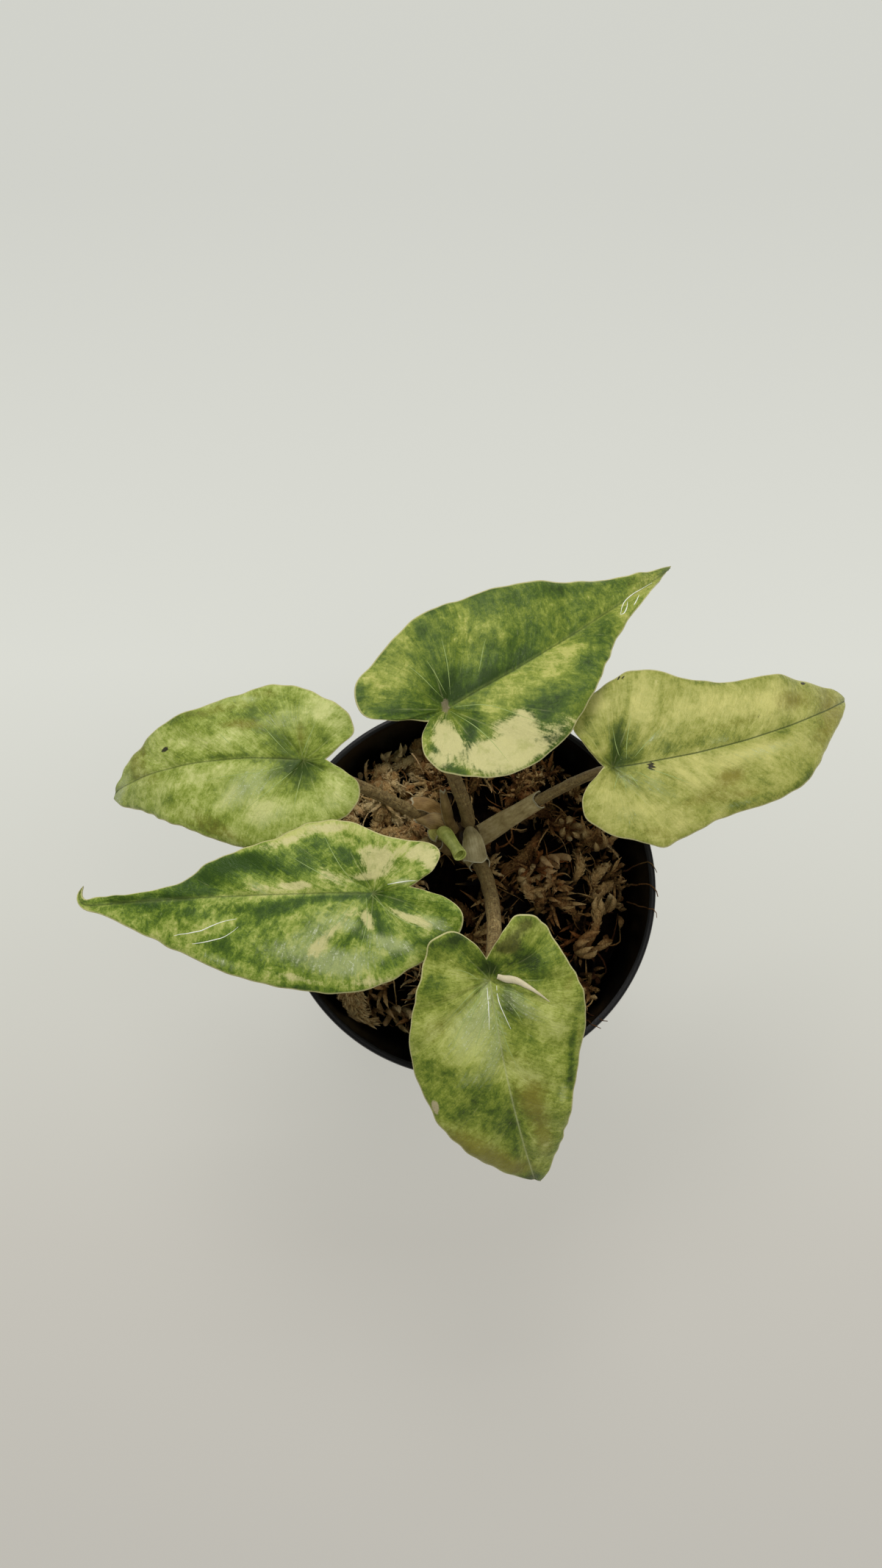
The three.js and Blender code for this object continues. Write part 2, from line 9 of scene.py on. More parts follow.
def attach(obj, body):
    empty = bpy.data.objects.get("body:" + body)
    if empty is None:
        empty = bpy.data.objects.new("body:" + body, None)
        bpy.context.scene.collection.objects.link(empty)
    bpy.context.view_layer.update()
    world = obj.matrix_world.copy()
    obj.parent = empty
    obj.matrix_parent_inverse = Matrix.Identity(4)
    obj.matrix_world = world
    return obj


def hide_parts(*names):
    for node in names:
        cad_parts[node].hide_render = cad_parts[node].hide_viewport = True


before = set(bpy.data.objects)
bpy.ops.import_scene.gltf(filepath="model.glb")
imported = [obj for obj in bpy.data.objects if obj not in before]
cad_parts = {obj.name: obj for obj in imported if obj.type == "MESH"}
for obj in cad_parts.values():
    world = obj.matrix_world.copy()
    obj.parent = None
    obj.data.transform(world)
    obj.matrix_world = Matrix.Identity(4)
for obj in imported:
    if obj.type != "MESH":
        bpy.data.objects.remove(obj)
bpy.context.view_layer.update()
MM = 0.001
TAU = 2 * math.pi
# The photo's size and focal length in pixels. Its camera looks down, tilted back from the vertical.
PHOTO_WIDTH, PHOTO_HEIGHT, FOCAL_LENGTH = 1200, 2133, 2000
CAMERA_PLACE, CAMERA_TILT = (-6.3, -37.0, 424.5), math.radians(10)

# Small helpers


def linear(*srgb):
    """An sRGB colour of 0 to 255 as the linear RGBA that a shader takes."""
    out = []
    for c in srgb:
        c = c / 255
        out.append(c / 12.92 if c <= 0.04045 else ((c + 0.055) / 1.055) ** 2.4)
    return (*out, 1.0)


def smooth(x, low, high):
    t = np.clip((x - low) / (high - low), 0, 1)
    return t * t * (3 - 2 * t)


def unit(v):
    return v / np.maximum(np.linalg.norm(v, axis=-1, keepdims=True), 1e-9)


def make_piece(name, points, faces, material, fields=None, shade_smooth=True):
    """A mesh object from points in millimetres, with one float field per point for each entry of fields."""
    mesh = bpy.data.meshes.new(name)
    mesh.from_pydata(np.asarray(points, float) * MM, [], faces)
    mesh.polygons.foreach_set("use_smooth", np.full(len(mesh.polygons), shade_smooth))
    for key, values in (fields or {}).items():
        mesh.attributes.new(key, "FLOAT", "POINT").data.foreach_set("value", np.asarray(values, np.float32))
    mesh.materials.append(material)
    mesh.update()
    piece = bpy.data.objects.new(name, mesh)
    bpy.context.scene.collection.objects.link(piece)
    return piece


def grid_faces(rows, columns, start=0, flip=False, wrap=False):
    """Quads of a grid of rows x columns points that are stored row by row."""
    i = np.arange(rows - 1)[:, None]
    j = np.arange(columns if wrap else columns - 1)[None, :]
    k = (j + 1) % columns
    a, b = i * columns + j, (i + 1) * columns + j
    c, d = (i + 1) * columns + k, i * columns + k
    quad = np.stack([a, d, c, b] if flip else [a, b, c, d], -1).reshape(-1, 4)
    return quad + start


def tubes(paths, radii, sides, flat=1.0, reference=None):
    """Points and quads of many tubes: paths is (tubes, steps, 3), radii (tubes, steps[, sides])."""
    count, steps, _ = paths.shape
    along = unit(np.gradient(paths, axis=1))
    if reference is None:
        reference = np.array([0.31, 0.27, 0.91])
    reference = np.broadcast_to(reference, along.shape)
    across = unit(np.cross(along, reference))
    up = np.cross(across, along)
    turn = TAU * np.arange(sides) / sides
    ring = across[:, :, None] * np.cos(turn)[:, None] + up[:, :, None] * (flat * np.sin(turn))[:, None]
    radii = radii if radii.ndim == 3 else radii[:, :, None]
    points = paths[:, :, None] + ring * radii[..., None]
    one = grid_faces(steps, sides, flip=True, wrap=True)
    faces = (one[None] + (np.arange(count) * steps * sides)[:, None, None]).reshape(-1, 4)
    return points.reshape(-1, 3), faces


# Steps of a spline from one of its corners to the next.
STRETCH_STEPS = 60


def spline(corners, count):
    """Evenly spaced points on the curve that the CAD margin follows (uniform Catmull-Rom)."""
    p = np.array(corners, float)
    n = len(p)
    dense = []
    for i in range(n - 1):
        p0, p1, p2, p3 = p[max(i - 1, 0)], p[i], p[i + 1], p[min(i + 2, n - 1)]
        t = np.linspace(0, 1, STRETCH_STEPS, endpoint=i == n - 2)[:, None]
        v0, v1 = (p2 - p0) / 2, (p3 - p1) / 2
        dense.append(
            (2 * p1 - 2 * p2 + v0 + v1) * t**3 + (-3 * p1 + 3 * p2 - 2 * v0 - v1) * t**2 + v0 * t + p1
        )
    dense = np.concatenate(dense)
    length = np.concatenate([[0], np.cumsum(np.linalg.norm(np.diff(dense, axis=0), axis=1))])
    at = np.linspace(0, length[-1], count + 1)
    return np.stack([np.interp(at, length, dense[:, k]) for k in range(dense.shape[1])], -1)


def bezier(p0, p1, p2, p3, t):
    t = np.asarray(t)[:, None]
    return p0 * (1 - t) ** 3 + 3 * p1 * t * (1 - t) ** 2 + 3 * p2 * t**2 * (1 - t) + p3 * t**3


def waves(x, seed, count, low, high):
    """A repeatable irregular curve of unit size through x: a few sines of random pitch and phase."""
    draw = np.random.default_rng(seed)
    total = np.zeros_like(x, float)
    for _ in range(count):
        total += np.sin(x * draw.uniform(low, high) + draw.uniform(0, TAU))
    return total / math.sqrt(count)


# Shader helpers


class Shader:
    """Builds a material's node tree out of plain calls."""

    def __init__(self, name):
        self.material = bpy.data.materials.new(name)
        self.material.use_nodes = True
        self.tree = self.material.node_tree
        self.surface = self.tree.nodes["Principled BSDF"]

    def put(self, socket, value):
        if isinstance(value, bpy.types.NodeSocket):
            self.tree.links.new(value, socket)
        else:
            socket.default_value = value

    def field(self, name):
        made = self.tree.nodes.new("ShaderNodeAttribute")
        made.attribute_name = name
        return made.outputs["Fac"]

    def math(self, operation, *values):
        made = self.tree.nodes.new("ShaderNodeMath")
        made.operation = operation
        for socket, value in zip(made.inputs, values):
            self.put(socket, value)
        return made.outputs[0]

    def add(self, *values):
        total = values[0]
        for value in values[1:]:
            total = self.math("ADD", total, value)
        return total

    def times(self, a, b):
        return self.math("MULTIPLY", a, b)

    def step(self, value, low, high):
        """0 below low, 1 above high and a soft rise between them."""
        made = self.tree.nodes.new("ShaderNodeMapRange")
        made.interpolation_type = "SMOOTHSTEP"
        self.put(made.inputs["Value"], value)
        if low > high:
            low, high = high, low
            made.inputs["To Min"].default_value, made.inputs["To Max"].default_value = 1.0, 0.0
        made.inputs["From Min"].default_value, made.inputs["From Max"].default_value = low, high
        return made.outputs["Result"]

    def mix(self, share, a, b, kind="MIX"):
        made = self.tree.nodes.new("ShaderNodeMix")
        made.data_type = "RGBA"
        made.blend_type = kind
        self.put(made.inputs["Factor"], share)
        self.put(made.inputs[6], a)
        self.put(made.inputs[7], b)
        return made.outputs[2]

    def vector(self, x, y, z=0.0):
        made = self.tree.nodes.new("ShaderNodeCombineXYZ")
        for socket, value in zip(made.inputs, (x, y, z)):
            self.put(socket, value)
        return made.outputs[0]

    def place(self):
        """Object coordinates in millimetres."""
        coordinates = self.tree.nodes.new("ShaderNodeTexCoord")
        made = self.tree.nodes.new("ShaderNodeVectorMath")
        made.operation = "SCALE"
        self.put(made.inputs[0], coordinates.outputs["Object"])
        made.inputs["Scale"].default_value = 1000.0
        return made.outputs[0]

    def noise(self, vector, scale, detail=3.0, roughness=0.55, distortion=0.0):
        made = self.tree.nodes.new("ShaderNodeTexNoise")
        self.put(made.inputs["Vector"], vector)
        made.inputs["Scale"].default_value = scale
        made.inputs["Detail"].default_value = detail
        made.inputs["Roughness"].default_value = roughness
        made.inputs["Distortion"].default_value = distortion
        return made.outputs["Fac"]

    def cells(self, vector, scale):
        made = self.tree.nodes.new("ShaderNodeTexVoronoi")
        self.put(made.inputs["Vector"], vector)
        made.inputs["Scale"].default_value = scale
        return made.outputs["Distance"]

    def ramp(self, share, stops):
        made = self.tree.nodes.new("ShaderNodeValToRGB")
        elements = made.color_ramp.elements
        while len(elements) < len(stops):
            elements.new(0.5)
        for element, (position, colour) in zip(elements, stops):
            element.position = position
            element.color = colour
        self.put(made.inputs[0], share)
        return made.outputs[0]

    def bump(self, height, distance_mm):
        made = self.tree.nodes.new("ShaderNodeBump")
        made.inputs["Strength"].default_value = 1.0
        made.inputs["Distance"].default_value = distance_mm * MM
        self.put(made.inputs["Height"], height)
        self.put(self.surface.inputs["Normal"], made.outputs[0])

    def finish(self, colour, roughness=0.5, **plain):
        self.put(self.surface.inputs["Base Color"], colour)
        self.put(self.surface.inputs["Roughness"], roughness)
        for key, value in plain.items():
            self.surface.inputs[key.replace("_", " ")].default_value = value
        return self.material


# The leaves' shapes
# The same leaves as in the CAD part, in millimetres and degrees: where the stalk meets the blade, how the
# midrib runs from there, and the margin as points (along the midrib, out to its left). pitch and heading
# start the midrib; bend and sweep are what they gain by the span's end.

THICKNESS, KEEL_DEPTH, KEEL_WIDTH = 0.5, 0.75, 0.75
HOOK_LENGTH = 7.5
LEAVES = {
    "back": dict(
        base=(-5, 33, 120), span=76, heading=30, sweep=16, pitch=-12, bend=-34, lobe_rise=6,
        fold=13, droop=0.009, dimple=1.6, wave=0.9, waves=3.5, notch=(-5.5, -0.9), tip=(75, 0.4),
        left=[(-9.2, 1), (-13.6, 2.6), (-17.2, 5), (-18, 8), (-16.2, 12.6), (-10, 15.4), (0, 19.1),
              (8, 20.2), (19, 19.1), (29, 16), (40, 11.1), (52, 6.1), (63, 2.8)],
        right=[(-8.5, -3), (-10.2, -6), (-10, -10), (-7, -13.8), (-1.5, -17.6), (6.5, -19.8),
               (17, -18.7), (26, -14.6), (44, -5.6), (60, -2)],
        stalk=dict(root=71, angle=80, lift=19, out=1, under=12, bow=(1, 0), radii=(1.7, 1.5)),
    ),
    "right": dict(
        base=(31, 22, 110), span=70, heading=7, sweep=27, pitch=-3, bend=-52, lobe_rise=4,
        fold=9, droop=0.014, dimple=1.4, wave=0.8, waves=3, notch=(-1.9, 0.4), tip=(71, 0.6),
        left=[(-4.1, 3.1), (-6.6, 6.4), (-7.6, 9.6), (-5.4, 14), (-0.8, 18), (4.5, 20.3), (9, 21.1),
              (14.5, 20), (22.6, 16.9), (33.6, 14), (43, 12.5), (50, 10.6), (58, 7.6), (66, 4)],
        right=[(-4.9, -2.5), (-7.2, -4.9), (-8, -7.6), (-7.4, -10.3), (-5.3, -12.7), (-1.8, -15),
               (2.7, -16.4), (7.5, -18.5), (12.5, -17.3), (21.4, -15.2), (31.8, -14.7), (41, -13),
               (48, -9.6), (57, -5), (66, -1.6)],
        stalk=dict(root=67, angle=14, lift=12, out=8, under=12, bow=(0, 1.4), radii=(1.45, 1.1)),
    ),
    "left": dict(
        base=(-37, 25, 103), span=60, heading=175, sweep=22, pitch=-6, bend=-64, lobe_rise=2,
        fold=6, droop=0.012, dimple=1.4, wave=0.7, waves=3, notch=(-5.2, -0.5), tip=(55.6, 0.9),
        left=[(-7.6, 0.8), (-11, 2.7), (-13.6, 5), (-13.6, 8.2), (-12, 11), (-8.5, 13.8),
              (-4.6, 16.4), (4, 19.4), (12, 20), (20.6, 18.1), (31, 13.2), (43, 7.4), (50, 4.6)],
        right=[(-8.4, -3.6), (-10.8, -6.6), (-10.4, -9.4), (-8, -12.4), (-2, -15), (6, -17.1),
               (12, -16.5), (21.6, -13.3), (32.6, -10.6), (40, -7.6), (47, -3.8)],
        stalk=dict(root=68.5, angle=152, lift=9, out=9, under=12, bow=(0, -0.6), radii=(1.5, 1.3)),
    ),
    "near_left": dict(
        base=(-21, -5, 107), span=68, heading=180, sweep=3, hook=-105, pitch=-7, bend=-14, lobe_rise=2,
        fold=8, droop=0.012, dimple=1.4, wave=0.8, waves=3.5, notch=(-8.3, -1.2), tip=(72.3, -0.3),
        left=[(-12, -0.2), (-15.7, 1.2), (-18.8, 3.3), (-20, 6), (-18.5, 9.6), (-14, 13),
              (-5.2, 18.1), (3.5, 21), (13, 21.4), (23, 19.4), (35, 15.5), (45.2, 10.9), (52, 7.4),
              (60, 3.2), (64, 1.8), (67, 1), (70, 0.5)],
        right=[(-10.9, -2.8), (-14, -5.4), (-14.8, -8.4), (-12.7, -10.7), (-7.2, -11.3),
               (-1.5, -12.6), (4, -15.1), (9, -16.3), (15.3, -15.5), (22.6, -11.9), (35.8, -7.9),
               (43, -3.8), (52, -2), (60, -1.9), (64.5, -1.7), (67.5, -1.1),
               (70, -0.7)],
        stalk=dict(root=63, angle=198, lift=17.5, out=9, under=12, bow=(0, 5.4), radii=(1.5, 1.35)),
    ),
    "front": dict(
        base=(4, -24, 113), span=60, heading=-82, sweep=14, pitch=-22, bend=-42, lobe_rise=4,
        fold=8, droop=0.013, dimple=1.4, wave=0.7, waves=3, notch=(-5.2, -0.2), tip=(57, 1.2),
        left=[(-8.4, 1.9), (-11.5, 4.2), (-13.7, 6.9), (-13.6, 10), (-10.6, 13.2), (-4.5, 15.6),
              (1.8, 18.2), (10, 19.3), (17.9, 18), (29.7, 13.5), (41.4, 9.4), (48, 6.5), (53.2, 3.8)],
        right=[(-8.5, -1.8), (-11.4, -4.4), (-12.4, -8), (-10.5, -11.6), (-6.7, -13.1),
               (1.3, -15.9), (6.5, -17.8), (14, -19.4), (21.5, -18.5), (33.3, -14.8),
               (42.5, -10.1), (50.7, -3.8)],
        stalk=dict(root=69, angle=292, lift=16, out=9, under=14, bow=(3, 0), radii=(1.75, 1.6)),
    ),
}
ROWS, COLUMNS = 140, 32
VEIN_SLANT = 0.84
LATERAL_VEINS = 9
GRID_FIELDS = ("u", "v", "k", "r", "edge", "near")


class Blade:
    """A leaf blade's middle surface: u runs along the midrib from the stalk, v out to its left."""

    def __init__(self, leaf):
        self.leaf = leaf
        s = np.linspace(-40, leaf["tip"][0] + 2, 1200)
        share = np.clip(s / leaf["span"], 0, None)
        lobe = np.clip(-s / 15, 0, 1)
        hook = leaf.get("hook", 0) * smooth(s, leaf["tip"][0] - HOOK_LENGTH, leaf["tip"][0])
        pitch = np.radians(leaf["pitch"] + leaf["bend"] * share**1.5 - leaf["lobe_rise"] * lobe)
        heading = np.radians(leaf["heading"] + leaf["sweep"] * share + hook)
        direction = np.stack(
            [np.cos(pitch) * np.cos(heading), np.cos(pitch) * np.sin(heading), np.sin(pitch)], -1
        )
        middle = (direction[1:] + direction[:-1]) / 2 * (s[1] - s[0])
        place = np.concatenate([np.zeros((1, 3)), np.cumsum(middle, 0)])
        place -= [np.interp(0, s, place[:, k]) for k in range(3)]
        self.s, self.place, self.direction = s, place, direction

    def at(self, u, v):
        leaf = self.leaf
        place = np.stack([np.interp(u, self.s, self.place[:, k]) for k in range(3)], -1)
        direction = unit(np.stack([np.interp(u, self.s, self.direction[:, k]) for k in range(3)], -1))
        side = unit(np.cross([0, 0, 1.0], direction))
        normal = np.cross(direction, side)
        out = np.sqrt(v * v + 0.36) - 0.6
        dimple = leaf["dimple"] * (1 - np.exp(-(u * u + v * v) / 30))
        lift = math.tan(math.radians(leaf["fold"])) * out - leaf["droop"] * v * v + dimple
        return np.array(leaf["base"], float) + place + side * v[..., None] + normal * lift[..., None]

    def normal(self, u, v):
        e = 0.05
        along = self.at(u + e, v) - self.at(u - e, v)
        across = self.at(u, v + e) - self.at(u, v - e)
        return unit(np.cross(along, across))


def blade_sheet(name, leaf):
    """Both halves of a blade as grids: rows fan from the midrib, columns run out to the margin."""
    blade = Blade(leaf)
    margins = {}
    for sign, points in ((1, leaf["left"]), (-1, leaf["right"])):
        margins[sign] = spline([leaf["notch"], *points, leaf["tip"]], ROWS)
    reach = sum(m[:, 0] - VEIN_SLANT * np.abs(m[:, 1]) for m in margins.values()) / 2
    root = np.maximum.accumulate(np.maximum(reach, 0))
    share = np.linspace(0, 1, ROWS + 1)
    r = np.linspace(0, 1, COLUMNS + 1) ** 0.9
    halves = []
    for sign, margin in margins.items():
        seed = sum(map(ord, name)) + sign
        ruffle = 0.10 * waves(share * 60, seed, 5, 0.8, 2.4) * smooth(share, 0, 0.06) * smooth(share, 1, 0.9)
        tangent = unit(np.gradient(margin, axis=0))
        outward = np.stack([-tangent[:, 1], tangent[:, 0]], -1) * sign
        margin = margin + outward * ruffle[:, None]
        start = np.stack([root, np.zeros_like(root)], -1)
        start[-1] = leaf["tip"]
        uv = start[:, None] + (margin - start)[:, None] * r[None, :, None]
        u, v = uv[..., 0], uv[..., 1]
        k = np.broadcast_to(share[:, None], u.shape)
        rr = np.broadcast_to(r[None, :], u.shape)
        row_length = np.linalg.norm(margin - start, axis=1)[:, None]
        edge = (1 - rr) * row_length
        per_k = np.linalg.norm(np.gradient(uv, share, axis=0), axis=-1)
        vein = k * LATERAL_VEINS - 0.35 * rr * (1 - rr) - 0.15 * rr
        near = np.abs(vein - np.round(vein)) / LATERAL_VEINS * per_k
        width = per_k / LATERAL_VEINS
        phase = 0.6 if sign > 0 else 2.2
        swing = leaf["wave"] * np.sin(TAU * leaf["waves"] * k + phase) * rr**2
        swing *= smooth(k, 0, 0.12) * (1 - smooth(k, 0.8, 1))
        quilt = 0.34 * np.minimum(width / 6, 1) * (1 - np.exp(-((near / (0.22 * width + 0.15)) ** 2)))
        loose = 0.36 * waves(u * 0.35 + v * 0.1, seed + 5, 4, 0.6, 1.5)
        loose = loose * waves(v * 0.4, seed + 9, 3, 0.6, 1.4)
        away = np.hypot(u, v)
        pleats = 0.16 * np.sin(15 * np.arctan2(v, u) + seed) * smooth(away, 1, 4) * np.exp(-away / 8)
        groove = -0.28 * np.exp(-((v / 0.55) ** 2)) * smooth(u, -3, 4)
        curl = -0.22 * smooth(rr, 0.9, 1.0)
        detail = swing + quilt + loose * smooth(np.abs(v), 0.5, 5) + pleats + groove + curl
        halves.append(dict(sign=sign, u=u, v=v, k=k, r=rr, edge=edge, near=near, detail=detail))
    return blade, halves


def build_blade(name, leaf, material):
    blade, halves = blade_sheet(name, leaf)
    patches = blade_patches(name, blade)
    points, faces, fields = [], [], {key: [] for key in (*GRID_FIELDS, "side", *MARKS)}
    start = 0
    for half in halves:
        u, v = half["u"], half["v"]
        shape = u.shape
        normal = blade.normal(u, v)
        middle = blade.at(u, v) + normal * half["detail"][..., None]
        thin = THICKNESS / 2 * (0.45 + 0.55 * smooth(half["edge"], 0, 1.2))
        keel = KEEL_DEPTH * np.exp(-((v / KEEL_WIDTH) ** 2)) * smooth(u, -2, 3)
        keel = keel * (1 - 0.8 * np.clip(u / leaf["tip"][0], 0, 1))
        top = middle + normal * thin[..., None]
        under = middle - normal * (thin + keel)[..., None]
        flip = half["sign"] < 0
        size = shape[0] * shape[1]
        points += [top.reshape(-1, 3), under.reshape(-1, 3)]
        faces.append(grid_faces(*shape, start=start, flip=flip))
        faces.append(grid_faces(*shape, start=start + size, flip=not flip))
        rim = start + np.arange(shape[0]) * shape[1] + shape[1] - 1
        wall = np.stack([rim[:-1], rim[1:], rim[1:] + size, rim[:-1] + size], -1)
        faces.append(wall[:, ::-1] if flip else wall)
        for _ in range(2):
            for key in GRID_FIELDS:
                fields[key].append(half[key].ravel())
            fields["side"].append(np.full(size, half["sign"]))
            for kind in MARKS:
                total = np.zeros(shape)
                for mark in patches[kind]:
                    total += patch(u, v, *mark)
                fields[kind].append(total.ravel())
        start += 2 * size
    piece = make_piece(
        "leaf_" + name,
        np.concatenate(points),
        np.concatenate(faces),
        material,
        {key: np.concatenate(value) for key, value in fields.items()},
    )
    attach(piece, "root")
    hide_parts("blade_" + name)
    return piece


# The leaves' colours

# The sheen marks are painted highlight: pale colour in place of glossy reflections.
MARKS = ("cream", "dark", "gold", "pale", "painted_sheen", "brown", "scar", "stalk", "speck")


def patch(u, v, at_u, at_v, long, wide, angle=0.0, strength=1.0, half=0):
    """A soft oval patch on a blade, its long axis turned by angle degrees; half keeps it off one side."""
    a = math.radians(angle)
    x = (u - at_u) * math.cos(a) + (v - at_v) * math.sin(a)
    y = (v - at_v) * math.cos(a) - (u - at_u) * math.sin(a)
    kept = smooth(v * half, -0.25, 0.35) if half else 1.0
    return kept * strength * np.exp(-((x / long) ** 2) - (y / wide) ** 2)
